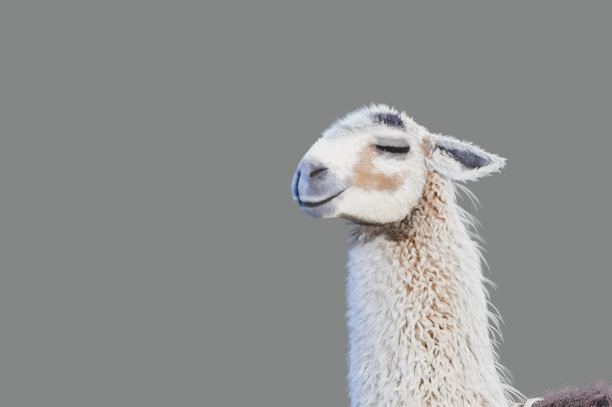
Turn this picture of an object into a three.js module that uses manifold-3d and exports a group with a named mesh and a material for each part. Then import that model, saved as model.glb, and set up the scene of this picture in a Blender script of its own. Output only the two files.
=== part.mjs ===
// A life-size standing llama: short-haired head with laid-back ears, woolly neck, brown fleeced
// body, four two-toed feet and a hanging tail. It is a still model with no joints.
// Millimetres, +Z up. The animal faces -X, its left side is -Y, and its feet rest on z = 0.
// Places are given as forward (distance ahead of the eyes, so x = -forward), side and height.
import * as THREE from "three";
import { mergeVertices } from "three/addons/utils/BufferGeometryUtils.js";
import Module from "manifold-3d";

const wasm = await Module();
wasm.setup();

// ---- Driving dimensions ----
const GAP = 0.35; // clearance between touching pieces
const WELD = { cut: 0.05, face: 2.5, wool: 19 }; // edges shorter than this are closed up
const EYE_HEIGHT = 1600;
const EYE_RADIUS = 22;
const EYE_SIDE = 53; // centre of each eyeball from the midline
const LID_OPENING = 7; // height of the narrow slit between the lids
const LID_THICKNESS = 10;
const LIP_GAP = 3;
const LIP_THICKNESS = 10;
const MOUTH_CORNER = 104; // forward of the eyes
const EAR_LENGTH = 168;
const EAR_WALL = 6;
const LEG_SPREAD = 130; // leg centre from the midline
const FORE_FOOT = -212;
const HIND_FOOT = -1016;
const TOE = { length: 92, width: 38, height: 44, nail: 30 };
const FORE_CUT = 556; // where the fore leg leaves the fleece of the chest
const HIND_CUT = 648;
const KNEE_CUT = 352;
const HOCK_CUT = 418;
const FOOT_CUT = 62;
const TAIL_PLANE = -1166;
const SIDES = { left: -1, right: 1 };

// ---- Sections ----
// Each station gives the outline of the finished coat at one place: high, mid and low are the
// upper (or front) edge, the widest level and the lower (or rear) edge, half is the half width.
// crown and keel square the upper and lower halves off above 2 and narrow them below 2.
const station = (at, high, mid, low, half, crown = 2, keel = 2) => {
  return { at, high, mid, low, half, crown, keel };
};

// The head runs from the poll to the lips; heights are measured from the eyes.
const HEAD = [
  station(-108, 20, -15, -60, 30),
  station(-100, 36, -12, -84, 48),
  station(-78, 58, -6, -116, 64),
  station(-45, 71, 0, -144, 71),
  station(-15, 77, 2, -157, 74),
  station(15, 75, -2, -157, 73, 1.9),
  station(45, 64, -14, -151, 65, 1.8),
  station(75, 50, -28, -143, 55, 1.8, 2.1),
  station(104, 36, -42, -136, 47, 1.9, 2.3),
  station(128, 22, -54, -137, 43, 2.2, 2.5),
  station(148, 6, -62, -136, 41, 2.5, 2.5),
  station(162, -12, -70, -128, 37, 2.6, 2.5),
  station(172, -30, -78, -115, 31, 2.5, 2.4),
  station(178, -47, -80, -104, 21, 2.2, 2.2),
  station(181, -60, -80, -95, 10),
];

// The neck runs down from behind the head; at is a height above the floor.
const NECK = [
  station(1618, -60, -75, -92, 30),
  station(1600, -50, -76, -104, 46),
  station(1550, -45, -84, -130, 74),
  station(1500, -38, -90, -152, 88),
  station(1465, -5, -82, -168, 95),
  station(1440, 40, -74, -184, 101),
  station(1400, 58, -72, -202, 112),
  station(1300, 70, -79, -228, 127),
  station(1200, 66, -87, -240, 131),
  station(1100, 64, -104, -272, 146),
  station(1000, 62, -131, -322, 172),
  station(920, 56, -150, -366, 190),
  station(860, 30, -165, -372, 180),
  station(820, 0, -170, -340, 150),
];

// The torso runs from the rump to the point of the chest; heights are above the floor.
const TORSO = [
  station(-1164, 980, 905, 830, 70),
  station(-1152, 1010, 905, 790, 122),
  station(-1118, 1056, 902, 748, 182, 2.1),
  station(-1050, 1096, 895, 706, 232, 2.2),
  station(-950, 1118, 885, 668, 262, 2.3),
  station(-860, 1130, 872, 640, 274, 2.3),
  station(-700, 1134, 855, 600, 280, 2.3, 2.2),
  station(-520, 1124, 845, 584, 276, 2.2, 2.2),
  station(-350, 1094, 840, 586, 262, 2.1, 2.2),
  station(-240, 1072, 842, 594, 246),
  station(-130, 1052, 845, 636, 216),
  station(-40, 1010, 850, 690, 168),
  station(20, 960, 858, 752, 110),
  station(48, 915, 862, 806, 56),
  station(56, 880, 862, 840, 20),
];

const FORE_LEG = [
  station(760, -160, -225, -290, 60),
  station(700, -130, -225, -320, 74),
  station(600, -146, -222, -298, 61),
  station(540, -156, -220, -284, 53),
  station(480, -165, -219, -272, 47),
  station(420, -171, -217, -262, 42),
  station(378, -171, -215, -257, 40),
  station(340, -178, -216, -252, 34),
  station(300, -187, -217, -248, 28),
  station(220, -193, -219, -246, 24),
  station(150, -193, -220, -247, 24),
  station(110, -186, -219, -251, 29),
  station(80, -178, -213, -248, 32),
  station(52, -178, -212, -244, 32),
  station(30, -190, -212, -234, 20),
];

const HIND_LEG = [
  station(960, -900, -985, -1070, 60),
  station(860, -846, -985, -1112, 100),
  station(760, -838, -972, -1100, 96),
  station(680, -866, -978, -1088, 82),
  station(610, -904, -992, -1078, 66),
  station(540, -944, -1010, -1078, 50),
  station(480, -974, -1026, -1088, 41),
  station(446, -986, -1032, -1090, 38),
  station(410, -996, -1034, -1078, 34),
  station(340, -1004, -1034, -1062, 28),
  station(220, -1002, -1028, -1055, 25),
  station(150, -998, -1025, -1052, 25),
  station(110, -990, -1023, -1055, 29),
  station(80, -982, -1017, -1052, 32),
  station(52, -982, -1016, -1048, 32),
  station(30, -994, -1016, -1038, 20),
];

const TAIL = [
  station(1092, -1140, -1150, -1160, 20),
  station(1078, -1112, -1152, -1198, 38),
  station(1040, -1128, -1178, -1228, 46),
  station(980, -1150, -1200, -1247, 50),
  station(920, -1170, -1210, -1250, 48),
  station(860, -1180, -1212, -1244, 40),
  station(815, -1188, -1210, -1232, 26),
  station(788, -1200, -1208, -1216, 12),
];

// The depth of wool between the outline and the core at places along the body.
const DEPTH = {
  neck: [[1618, 4], [1560, 14], [1480, 28], [1400, 36], [1100, 42], [900, 50], [820, 56]],
  torso: [[-1164, 14], [-1118, 36], [-1000, 54], [-700, 64], [-350, 62], [-130, 56], [56, 12]],
  tail: [[1092, 4], [1040, 16], [900, 20], [788, 4]],
  fore: [[760, 34], [620, 26], [556, 0], [30, 0]],
  hind: [[960, 36], [760, 34], [648, 0], [30, 0]],
  crown: [[-108, -15], [181, -15]],
};

// How the wool is parted: the step between tufts and the size of each.
const WOOL = {
  neck: { from: 1592, to: 960, step: 112, length: 140, width: 124, thick: 46, sunk: 24, seed: 11 },
  torso: { from: -1130, to: 15, step: 170, length: 190, width: 188, thick: 66, sunk: 36, seed: 24 },
  tail: { from: 1050, to: 900, step: 100, length: 120, width: 84, thick: 32, sunk: 12, seed: 31 },
  fore: { from: 700, to: 610, step: 120, length: 120, width: 118, thick: 34, sunk: 16, seed: 37 },
  hind: { from: 850, to: 710, step: 140, length: 140, width: 140, thick: 40, sunk: 20, seed: 41 },
  crown: { from: -60, to: 60, step: 44, length: 54, width: 50, thick: 18, sunk: 9, seed: 47 },
};
const NAPE = { width: 84, thick: 20, length: 150, stand: 0 };

// The line between the lips in profile, from the corner to the front, heights from the eyes.
const MOUTH = [
  [MOUTH_CORNER, -79],
  [125, -91],
  [148, -103],
  [167, -108],
  [210, -104],
];
const NOSTRIL = { front: [172, -51], rear: [139, -36], open: 6.5, depth: 16 };

// ---- Solids ----
const vector = (forward, side, height) => new THREE.Vector3(-forward, side, height);

// A closed three.js geometry as a solid.
function solidOf(geometry) {
  const bare = geometry.clone();
  bare.deleteAttribute("normal");
  bare.deleteAttribute("uv");
  const merged = mergeVertices(bare, 1e-3);
  return new wasm.Manifold(
    new wasm.Mesh({
      numProp: 3,
      vertProperties: merged.attributes.position.array,
      triVerts: new Uint32Array(merged.index.array),
    }),
  );
}

// A sphere's grid moved onto a shape: place(share, angle) is a point of it, share running from one
// pole to the other and angle round it, left-handed about that run.
function moulded(sides, rows, place) {
  const geometry = new THREE.SphereGeometry(1, sides, rows);
  const position = geometry.getAttribute("position");
  for (let row = 0; row <= rows; row++)
    for (let side = 0; side <= sides; side++) {
      const angle = (2 * Math.PI * (side % sides)) / sides;
      const point = place(row / rows, angle);
      position.setXYZ(row * (sides + 1) + side, point.x, point.y, point.z);
    }
  return solidOf(geometry);
}

function ellipsoid(centre, radii, sides, rows, turn = new THREE.Euler()) {
  const geometry = new THREE.SphereGeometry(1, sides, rows).scale(radii.x, radii.y, radii.z);
  geometry.applyMatrix4(new THREE.Matrix4().makeRotationFromEuler(turn));
  return solidOf(geometry.translate(centre.x, centre.y, centre.z));
}

// A block between two corners, given as forward, side and height.
function block(from, to) {
  const size = to.clone().sub(from);
  const geometry = new THREE.BoxGeometry(Math.abs(size.x), Math.abs(size.y), Math.abs(size.z));
  const centre = from.clone().add(to).multiplyScalar(0.5);
  return solidOf(geometry.translate(centre.x, centre.y, centre.z));
}

// A plate that has the given profile of forward and height, right across the animal.
function acrossPlate(profile, halfWidth) {
  const shape = new THREE.Shape(profile.map(([f, z]) => new THREE.Vector2(-f, z)));
  const geometry = new THREE.ExtrudeGeometry(shape, { depth: 2 * halfWidth, bevelEnabled: false });
  return solidOf(geometry.rotateX(Math.PI / 2).translate(0, halfWidth, 0));
}

const joined = (solids) => wasm.Manifold.union(solids);

const largest = (solid) => solid.decompose().reduce((a, b) => (b.volume() > a.volume() ? b : a));

// A solid with the edges shorter than the weld closed up. Cuts and joins leave slivers whose corners
// are closer together than a file can tell apart. An edge goes only where its ends have no more than
// the two neighbours in common that a whole surface has there, and where no triangle turns over.
function closedUp(solid, weld) {
  const { vertProperties, triVerts } = solid.getMesh();
  const corners = Array.from({ length: vertProperties.length / 3 }, (_, i) =>
    new THREE.Vector3().fromArray(vertProperties, 3 * i),
  );
  const triangles = Array.from({ length: triVerts.length / 3 }, (_, i) =>
    Array.from(triVerts.subarray(3 * i, 3 * i + 3)),
  );
  const fans = corners.map(() => new Set());
  triangles.forEach((triangle) => triangle.forEach((v) => fans[v].add(triangle)));
  const neighbours = (v) => new Set([...fans[v]].flat().filter((w) => w !== v));
  const facing = ([a, b, c]) => {
    const side = corners[c].clone().sub(corners[a]);
    return corners[b].clone().sub(corners[a]).cross(side);
  };
  const turns = (triangle, b, a) => {
    const [before, after] = [triangle, triangle.map((v) => (v === b ? a : v))].map(facing);
    return after.length() > weld * GAP && before.dot(after) < 0.5 * before.length() * after.length();
  };
  const close = (a, b) => {
    const near = neighbours(a);
    if ([...neighbours(b)].filter((v) => near.has(v)).length !== 2) return;
    const moved = [...fans[b]].filter((triangle) => !triangle.includes(a));
    if (moved.some((triangle) => turns(triangle, b, a))) return;
    for (const triangle of [...fans[b]])
      if (triangle.includes(a)) triangle.forEach((v) => fans[v].delete(triangle));
      else {
        triangle[triangle.indexOf(b)] = a;
        fans[a].add(triangle);
      }
    fans[b].clear();
  };
  for (const triangle of triangles)
    for (let k = 0; k < 3; k++) {
      const [a, b] = [triangle[k], triangle[(k + 1) % 3]];
      const whole = fans[a].has(triangle) && fans[b].has(triangle);
      if (whole && corners[a].distanceTo(corners[b]) < weld) close(a, b);
    }
  const kept = triangles.filter((triangle) => fans[triangle[0]].has(triangle));
  const used = [...new Set(kept.flat())];
  const order = new Map(used.map((v, i) => [v, i]));
  const mesh = new wasm.Mesh({
    numProp: 3,
    vertProperties: new Float32Array(used.flatMap((v) => corners[v].toArray())),
    triVerts: new Uint32Array(kept.flat().map((v) => order.get(v))),
  });
  return new wasm.Manifold(mesh);
}

// ---- Lofts ----
const mix = THREE.MathUtils.lerp;
const clamp = THREE.MathUtils.clamp;

// A smooth curve through values that never overshoots them, as a function of the place.
function smoothCurve(places, values) {
  const steep = places.slice(1).map((p, i) => (values[i + 1] - values[i]) / (p - places[i]));
  const slopes = values.map((_, i) => {
    const before = steep[Math.max(i - 1, 0)];
    const after = steep[Math.min(i, steep.length - 1)];
    return before * after <= 0 ? 0 : (2 * before * after) / (before + after);
  });
  return (place) => {
    const falling = places[1] < places[0];
    const past = places.findIndex((p) => (falling ? p <= place : p >= place));
    const i = clamp(past < 0 ? places.length - 2 : past - 1, 0, places.length - 2);
    const span = places[i + 1] - places[i];
    const t = clamp((place - places[i]) / span, 0, 1);
    const t2 = t * t;
    const t3 = t2 * t;
    return (
      (2 * t3 - 3 * t2 + 1) * values[i] +
      (t3 - 2 * t2 + t) * span * slopes[i] +
      (3 * t2 - 2 * t3) * values[i + 1] +
      (t3 - t2) * span * slopes[i + 1]
    );
  };
}

// A body through stations. along is "forward" for level ones and "height" for upright ones, whose
// high and low edges are then heights or forward places. side and lift move the whole.
function loft(along, stations, { side = 0, lift = 0, relief = null } = {}) {
  const places = stations.map((s) => s.at);
  const keys = ["high", "mid", "low", "half", "crown", "keel"];
  const curves = keys.map((k) => smoothCurve(places, stations.map((s) => s[k])));
  const section = (at) => Object.fromEntries(keys.map((k, i) => [k, curves[i](at)]));
  const rounded = (value, power) => Math.sign(value) * Math.abs(value) ** (2 / power);
  const point = (at, angle, grow = 0) => {
    const s = section(at);
    const power = Math.sin(angle) > 0 ? s.crown : s.keel;
    const reach = (Math.sin(angle) > 0 ? s.high - s.mid : s.mid - s.low) + grow;
    const out = rounded(Math.cos(angle), power) * Math.max(s.half + grow, 1);
    const up = s.mid + rounded(Math.sin(angle), power) * Math.max(reach, 1);
    const p = along === "forward" ? vector(at, out, up + lift) : vector(up, out, at + lift);
    if (relief) p.add(relief(p, angle));
    return p.setY(p.y + side);
  };
  const normal = (at, angle) => {
    const step = along === "forward" ? 4 : -4;
    const run = point(at + step, angle).sub(point(at - step, angle));
    const round = point(at, angle + 0.05).sub(point(at, angle - 0.05));
    return run.cross(round).normalize();
  };
  const solid = (sides, rows, grow = 0) => {
    const last = places.length - 1;
    const end = along === "forward" ? grow : -grow;
    return moulded(sides, rows, (share, angle) => {
      const i = Math.min(Math.floor(share * last), last - 1);
      const at = mix(places[i], places[i + 1], share * last - i);
      if (share > 0 && share < 1) return point(at, angle, grow);
      const mid = section(at).mid;
      const past = at + (share ? end : -end);
      const p = along === "forward" ? vector(past, 0, mid + lift) : vector(mid, 0, past + lift);
      return p.setY(side);
    });
  };
  // Where a point lies: its place along the loft and its distances from the axis as shares of
  // the section, grown by a margin.
  const locate = (p, margin = 0) => {
    const at = along === "forward" ? -p.x : p.z - lift;
    const s = section(at);
    const up = (along === "forward" ? p.z - lift : -p.x) - s.mid;
    const reach = (up > 0 ? s.high - s.mid : s.mid - s.low) + margin;
    return { at, out: (p.y - side) / (s.half + margin), up: up / reach };
  };
  // The point of the surface that lies over p, seen from the axis.
  const over = (p, grow = 0) => {
    const { at, out, up } = locate(p);
    return point(at, Math.atan2(up, out), grow);
  };
  const holds = (p, margin = 0) => {
    const { at, out, up } = locate(p, margin);
    const inLength = (at - places[0]) * (at - places.at(-1)) <= 0;
    return inLength && Math.hypot(out, up) < 1;
  };
  return { section, point, normal, solid, over, holds };
}

// ---- Head ----
const bump = (distance, width) => Math.exp(-((distance / width) ** 2));
const mouthHeight = smoothCurve(...[0, 1].map((k) => MOUTH.map((p) => p[k])));

// Named swellings and hollows of the head, mirrored on both sides: place, reach and rise.
const FORMS = {
  lids: { forward: 0, height: -1, reach: 27, rise: 7 },
  brow: { forward: 2, height: 34, reach: 24, rise: 7 },
  tearHollow: { forward: 44, height: -8, reach: 22, rise: -5 },
  cheekbone: { forward: 30, height: -42, reach: 26, rise: 4 },
  cheek: { forward: -18, height: -88, reach: 48, rise: 13 },
  jawHollow: { forward: 84, height: -104, reach: 26, rise: -4 },
  temple: { forward: -38, height: 34, reach: 22, rise: -4 },
  noseWing: { forward: 158, height: -30, reach: 13, rise: 4 },
  upperLip: { forward: 150, height: -82, reach: 20, rise: 4 },
};

// How far the head's surface stands out of its plain sections, along the section's own radius.
function headRelief(p, angle) {
  const forward = -p.x;
  const height = p.z - EYE_HEIGHT;
  const onSide = Math.abs(Math.cos(angle)) ** 0.5;
  let rise = 0;
  for (const form of Object.values(FORMS))
    rise += form.rise * bump(Math.hypot(forward - form.forward, height - form.height), form.reach);
  const inMouth = clamp((forward - MOUTH_CORNER + 8) / 16, 0, 1);
  const above = height - mouthHeight(forward);
  rise += inMouth * (2.5 * bump(above - 11, 7) + 2 * bump(above + 10, 6) - 3 * bump(above, 4));
  return new THREE.Vector3(0, Math.cos(angle), Math.sin(angle) * 0.4).multiplyScalar(rise * onSide);
}

const head = loft("forward", HEAD, { lift: EYE_HEIGHT, relief: headRelief });

// The ear's own frame: along it from the root, across it, and out of its opening.
function earFrame(sign) {
  const root = vector(-70, sign * 46, EYE_HEIGHT + 14);
  const along = vector(-0.73, sign * 0.6, -0.24).normalize();
  const open = vector(0.62, sign * 0.74, -0.14);
  open.addScaledVector(along, -open.dot(along)).normalize();
  const across = along.clone().cross(open).multiplyScalar(sign);
  return { root, along, open, across };
}

// The ear along its length, by share: half its width, how far its sides curl round, and its lean.
const earHalf = smoothCurve([0, 0.16, 0.34, 0.5, 0.66, 0.84, 0.95, 1], [20, 27, 34, 36, 30, 18, 10, 3]);
const earCurl = smoothCurve([0, 0.2, 0.6, 1], [2.5, 1.9, 1.2, 0.7]);
const earLean = smoothCurve([0, 0.16, 0.34, 0.5, 0.66, 0.84, 1], [0, -7, -13, -17, -16, -9, 1]);
const rootRadius = smoothCurve([0, 0.25, 0.6, 0.85, 1], [4, 25, 25, 16, 4]);

// A leaf-shaped cup: rolled into a tube at the root, open at the middle and flat at the tip.
function earSolid(sign, grow = 0) {
  const { root, along, open, across } = earFrame(sign);
  const axis = (share) => {
    return root
      .clone()
      .addScaledVector(along, share * EAR_LENGTH)
      .addScaledVector(across, earLean(share));
  };
  const cup = moulded(16, 10, (share, angle) => {
    const curl = earCurl(share) + (share % 1 ? (1.5 * grow) / earHalf(share) : 0);
    const round = Math.cos(sign * angle) * curl;
    const face = Math.sign(Math.round(1000 * Math.sin(sign * angle)));
    const radius = earHalf(share) / Math.sin(Math.min(curl, Math.PI / 2));
    const pole = share === 0 || share === 1;
    const wall = pole ? 0 : (EAR_WALL / 2) * Math.sqrt(Math.abs(Math.sin(angle))) + grow;
    const reach = pole ? 0 : radius - face * wall;
    const back = pole ? -0.75 * radius : 0.25 * radius - Math.cos(round) * reach;
    return axis(mix(-grow, EAR_LENGTH + grow, share) / EAR_LENGTH)
      .addScaledVector(across, Math.sin(round) * reach)
      .addScaledVector(open, back);
  });
  // The root fills the tube, swells round its foot and runs on into the skull.
  const swelling = moulded(10, 7, (share, angle) => {
    const radius = share % 1 ? rootRadius(share) + grow : 0;
    return axis(mix(-0.16 * EAR_LENGTH - grow, 0.3 * EAR_LENGTH + grow, share) / EAR_LENGTH)
      .addScaledVector(across, Math.cos(sign * angle) * radius)
      .addScaledVector(open, Math.sin(sign * angle) * radius - 5 * share);
  });
  return joined([cup, swelling]);
}

function eyeball(sign, grow = 0) {
  const radii = new THREE.Vector3(1, 1, 1).multiplyScalar(EYE_RADIUS + grow);
  return ellipsoid(vector(0, sign * EYE_SIDE, EYE_HEIGHT - 1), radii, 10, 7);
}

// A roll of skin laid on the side of the head through places of forward and height, tapered at its
// ends and standing proud by half its thickness.
function roll(sign, thickness, sides, rows, course) {
  const at = (share) => {
    const [forward, height] = course(clamp(share, 0, 1));
    const s = head.section(forward);
    const up = height - s.mid;
    const level = clamp(up / (up > 0 ? s.high - s.mid : s.mid - s.low), -1, 1);
    const angle = Math.sign(level) * Math.asin(Math.abs(level) ** ((up > 0 ? s.crown : s.keel) / 2));
    const p = head.point(forward, angle);
    return vector(forward, sign * (p.y - thickness / 6), EYE_HEIGHT + height);
  };
  return moulded(sides, rows, (share, angle) => {
    const run = at(share + 0.04).sub(at(share - 0.04)).normalize();
    const out = new THREE.Vector3(0, sign, 0).addScaledVector(run, -sign * run.y).normalize();
    const across = out.clone().cross(run);
    const radius = share % 1 ? (thickness / 2) * Math.sin(Math.PI * share) ** 0.5 : 0;
    return at(share)
      .addScaledVector(out, Math.cos(angle) * radius)
      .addScaledVector(across, Math.sin(angle) * radius * 1.3);
  });
}

const lidSlope = Math.tan(THREE.MathUtils.degToRad(6));
const lid = (sign, rise) =>
  roll(sign, LID_THICKNESS, 6, 7, (share) => {
    const forward = 29 * Math.cos(Math.PI * share);
    return [forward, lidSlope * forward + rise * Math.sin(Math.PI * share)];
  });

const lip = (sign, rise) =>
  roll(sign, LIP_THICKNESS, 6, 8, (share) => {
    const forward = mix(MOUTH_CORNER - 4, 172, share);
    return [forward, mouthHeight(forward) + rise];
  });

// The slit between nearly closed lids, a flat lens that slopes down to the rear.
function lidSlit(sign) {
  const centre = vector(0, sign * (EYE_SIDE + 22), EYE_HEIGHT - 1);
  const radii = new THREE.Vector3(27, 18, LID_OPENING / 2);
  return ellipsoid(centre, radii, 12, 6, new THREE.Euler(0, THREE.MathUtils.degToRad(6), 0));
}

// A comma-shaped nostril that narrows backwards along the side of the muzzle.
function nostril(sign) {
  const [front, rear] = [NOSTRIL.front, NOSTRIL.rear];
  return moulded(8, 6, (share, angle) => {
    const forward = mix(front[0], rear[0], share);
    const height = EYE_HEIGHT + mix(front[1], rear[1], share) + 5 * Math.sin(Math.PI * share);
    const open = NOSTRIL.open * Math.sin(Math.PI * share) ** 0.6 * mix(1.15, 0.35, share);
    const surface = mix(30, 45, share ** 0.7);
    const out = NOSTRIL.depth * Math.sin(Math.PI * share) ** 0.5;
    const side = sign * (surface + Math.cos(angle) * out);
    return vector(forward, side, height - sign * Math.sin(angle) * open);
  });
}

// The groove that parts the two halves of the upper lip.
const lipCleft = () =>
  ellipsoid(vector(184, 0, EYE_HEIGHT - 84), new THREE.Vector3(14, 3.2, 34), 8, 6);

// All that lies in front of the mouth's corner and below the line between the lips.
function jawPlate(rise, back) {
  const lips = MOUTH.map(([f, z], i) => [i ? f : f - back, EYE_HEIGHT + z + rise]);
  const low = EYE_HEIGHT - 200;
  return acrossPlate([...lips, [210, low], [MOUTH_CORNER - back, low]], 90);
}

// ---- Wool ----
// A seeded stream of numbers from 0 to 1.
function seeded(seed) {
  let state = seed;
  return () => {
    state = (state + 0x6d2b79f5) | 0;
    let t = Math.imul(state ^ (state >>> 15), 1 | state);
    t = (t + Math.imul(t ^ (t >>> 7), 61 | t)) ^ t;
    return ((t ^ (t >>> 14)) >>> 0) / 2 ** 32;
  };
}

// The stations of the core that is left under wool of the given depths.
function cored(stations, depths) {
  const depth = smoothCurve(...[0, 1].map((k) => depths.map((d) => d[k])));
  return stations.map((s) => ({
    ...s,
    high: Math.max(s.high - depth(s.at), s.mid + 2),
    low: Math.min(s.low + depth(s.at), s.mid - 2),
    half: Math.max(s.half - depth(s.at), 3),
  }));
}

// The rings of a tuft along its course, each with its share of the full width and thickness.
const CLUMP = { at: [0, 0.36, 0.66, 0.88, 1], swell: [0, 1, 0.94, 0.6, 0] };
const LOCK = { at: [0, 0.34, 0.62, 0.86, 1], swell: [0, 1, 0.9, 0.5, 0] };

// One tuft of wool. It leaves the core, rises to the outline and bends over along the lie.
function tuft({ root, bend, tip }, width, thick, { at, swell }) {
  const course = new THREE.QuadraticBezierCurve3(root, bend, tip);
  const out = bend.clone().sub(root);
  const across = tip.clone().sub(root).cross(out).normalize();
  const rows = at.length - 1;
  return moulded(4, rows, (share, angle) => {
    const row = Math.round(share * rows);
    const up = across.clone().cross(course.getTangent(at[row])).normalize();
    return course
      .getPoint(at[row])
      .addScaledVector(across, (Math.cos(angle) * width * swell[row]) / 2)
      .addScaledVector(up, (Math.sin(angle) * thick * swell[row]) / 2);
  });
}

// Angles that part a section of a loft into equal lengths, from its top or front on.
function evenAngles(outline, at, count) {
  const fine = 72;
  const angles = Array.from({ length: fine + 1 }, (_, i) => Math.PI / 2 + (2 * Math.PI * i) / fine);
  const points = angles.map((angle) => outline.point(at, angle));
  const lengths = [0];
  for (let i = 1; i <= fine; i++) lengths.push(lengths[i - 1] + points[i].distanceTo(points[i - 1]));
  return Array.from({ length: count }, (_, i) => {
    return angles[lengths.findIndex((l) => l >= (lengths[fine] * i) / count)];
  });
}

// Tufts in staggered rings between a core and its outline. lie gives the direction that the wool
// runs in at a place, bare says where none grows, and flat where it hangs in flat locks instead.
function wool(outline, core, kind, lie, bare, flat = () => false) {
  const { from, to, step, length, width, thick, sunk, seed } = WOOL[kind];
  const draw = seeded(seed);
  const tufts = [];
  const rings = Math.round(Math.abs(to - from) / step);
  for (let ring = 0; ring <= rings; ring++) {
    const middle = mix(from, to, ring / rings);
    const s = outline.section(middle);
    const girth = Math.PI * (s.half + (s.high - s.low) / 2);
    const count = Math.round(girth / step);
    for (const [i, even] of evenAngles(outline, middle, count).entries()) {
      const off = ((2 * i) % count) / count - 0.5 + 0.3 * (draw() - 0.5);
      const at = clamp(middle + step * off, Math.min(from, to), Math.max(from, to));
      const angle = even + (0.6 * (draw() - 0.5)) / count;
      const size = mix(0.88, 1.12, draw());
      const twist = 0.5 * (draw() - 0.5);
      const base = core.point(at, angle);
      if (bare(base, angle)) continue;
      const out = outline.normal(at, angle);
      const way = lie(base, angle).clone();
      way.addScaledVector(out, -way.dot(out)).normalize();
      way.applyAxisAngle(out, twist);
      const locks = flat(base, angle);
      const reach = (locks ? NAPE.length : length) * size;
      const below = ((locks ? NAPE.thick : thick) / 2) * size;
      const course = {
        root: base.clone().addScaledVector(out, -sunk),
        bend: outline.over(base.clone().addScaledVector(way, reach * 0.35), -below * 0.6),
        tip: outline.over(base.clone().addScaledVector(way, reach), locks ? NAPE.stand : -below),
      };
      const [wide, deep] = locks ? [NAPE.width, NAPE.thick] : [width, thick];
      tufts.push(tuft(course, wide * size, deep * size, locks ? LOCK : CLUMP));
    }
  }
  return tufts;
}

// ---- Build ----
const SECTIONS = { head: [28, 28], neck: [12, 12], torso: [16, 12], leg: [10, 16], tail: [6, 6] };
const neck = loft("height", NECK);
const neckCore = loft("height", cored(NECK, DEPTH.neck));
const torso = loft("forward", TORSO);
const torsoCore = loft("forward", cored(TORSO, DEPTH.torso));
const tail = loft("height", TAIL);
const tailCore = loft("height", cored(TAIL, DEPTH.tail));

// One toe with a flat sole, and the nail that caps its front.
function toe(footForward, side, inner) {
  const centre = vector(footForward + 8, side + inner * 20, TOE.height * 0.42);
  const radii = new THREE.Vector3(TOE.length / 2, TOE.width / 2, TOE.height * 0.62);
  const turn = new THREE.Euler(0, 0, THREE.MathUtils.degToRad(-4 * inner));
  return ellipsoid(centre, radii, 8, 5, turn);
}

function nail(footForward, side, inner, grow = 0) {
  const centre = vector(footForward + TOE.length / 2 + 1, side + inner * 23, 15);
  const radii = new THREE.Vector3(TOE.nail / 2 + grow, 11 + grow, 13 + grow);
  return ellipsoid(centre, radii, 7, 5, new THREE.Euler(0, THREE.MathUtils.degToRad(-24), 0));
}

const aboveFloor = block(vector(400, -600, 0), vector(-1500, 600, 2000));

const LEGS = {};
for (const [side, sign] of Object.entries(SIDES)) {
  const [fore, hind] = [{ kind: "fore", stations: FORE_LEG }, { kind: "hind", stations: HIND_LEG }];
  LEGS[`fore_${side}`] = { ...fore, foot: FORE_FOOT, sign, top: FORE_CUT, bend: KNEE_CUT };
  LEGS[`hind_${side}`] = { ...hind, foot: HIND_FOOT, sign, top: HIND_CUT, bend: HOCK_CUT };
}

const whole = {};
for (const [name, leg] of Object.entries(LEGS)) {
  const side = leg.sign * LEG_SPREAD;
  leg.outline = loft("height", leg.stations, { side });
  leg.core = loft("height", cored(leg.stations, DEPTH[leg.kind]), { side });
  const toes = [-1, 1].map((inner) => toe(leg.foot, side, inner));
  const nails = [-1, 1].map((inner) => nail(leg.foot, side, inner, GAP));
  whole[name] = joined([leg.core.solid(...SECTIONS.leg), ...toes])
    .subtract(joined(nails))
    .intersect(aboveFloor);
}

const solids = {};
const colours = {
  white: { color: 0xe6e0d6, roughness: 0.9 },
  cream: { color: 0xe3d6bf, roughness: 0.95 },
  grey: { color: 0xb9b0ae, roughness: 0.85 },
  brown: { color: 0x4b2e26, roughness: 0.95 },
  horn: { color: 0x2e2723, roughness: 0.5 },
  eye: { color: 0x0d0908, roughness: 0.1 },
};
const looks = {};
const give = (name, solid, look) => {
  solids[name] = largest(closedUp(largest(solid), WELD.cut));
  looks[name] = colours[look];
};

// Wool runs down the neck, legs and tail, and down and back over the body.
const DOWN = new THREE.Vector3(0, 0, -1);
const overBody = (p, angle) => new THREE.Vector3(1, 0.4 * Math.cos(angle), -0.9);
const inLeg = (p) => Object.values(LEGS).some((leg) => leg.core.holds(p, -6));
const inNeck = (p) => neckCore.holds(p, -45);
const inTorso = (p) => torsoCore.holds(p, -4);
const atNape = (p, angle) => Math.sin(angle) < -0.45 && p.z > 1120;
const fleece = [
  ...wool(neck, neckCore, "neck", () => DOWN, (p) => head.holds(p, -8) || inTorso(p), atNape),
  ...wool(torso, torsoCore, "torso", overBody, (p) => inNeck(p) || inLeg(p)),
  ...wool(tail, tailCore, "tail", () => DOWN, inTorso),
  ...Object.values(LEGS).flatMap((leg) => {
    const inner = (angle) => Math.cos(angle) * leg.sign < -0.3;
    return wool(leg.outline, leg.core, leg.kind, () => DOWN, (p, angle) => inTorso(p) || inner(angle));
  }),
];

// The trunk is made whole with the tops of the legs and the root of the tail, then parted.
const woolly = joined([
  neckCore.solid(...SECTIONS.neck),
  torsoCore.solid(...SECTIONS.torso),
  tailCore.solid(...SECTIONS.tail),
  ...fleece,
]);
const trunk = joined([closedUp(woolly, WELD.wool), ...Object.values(whole)]);
const far = 700;
const neckRoom = (gap) => {
  return acrossPlate(
    [
      [-332 + gap, 1078 + gap],
      [300, 950 + gap],
      [300, 1900],
      [-332 + gap, 1900],
    ],
    far,
  );
};
const tailRoom = (gap) => block(vector(TAIL_PLANE - gap, -60, 700), vector(-1400, 60, 1200));
const legRoom = (leg, gap) => {
  const middle = leg.foot - 4;
  return block(
    vector(middle - 190, leg.sign * 30, -10),
    vector(middle + 190, leg.sign * far, leg.top - gap),
  );
};
const slice = (solid, low, high) =>
  solid.intersect(block(vector(400, -far, low), vector(-1500, far, high)));

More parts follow.
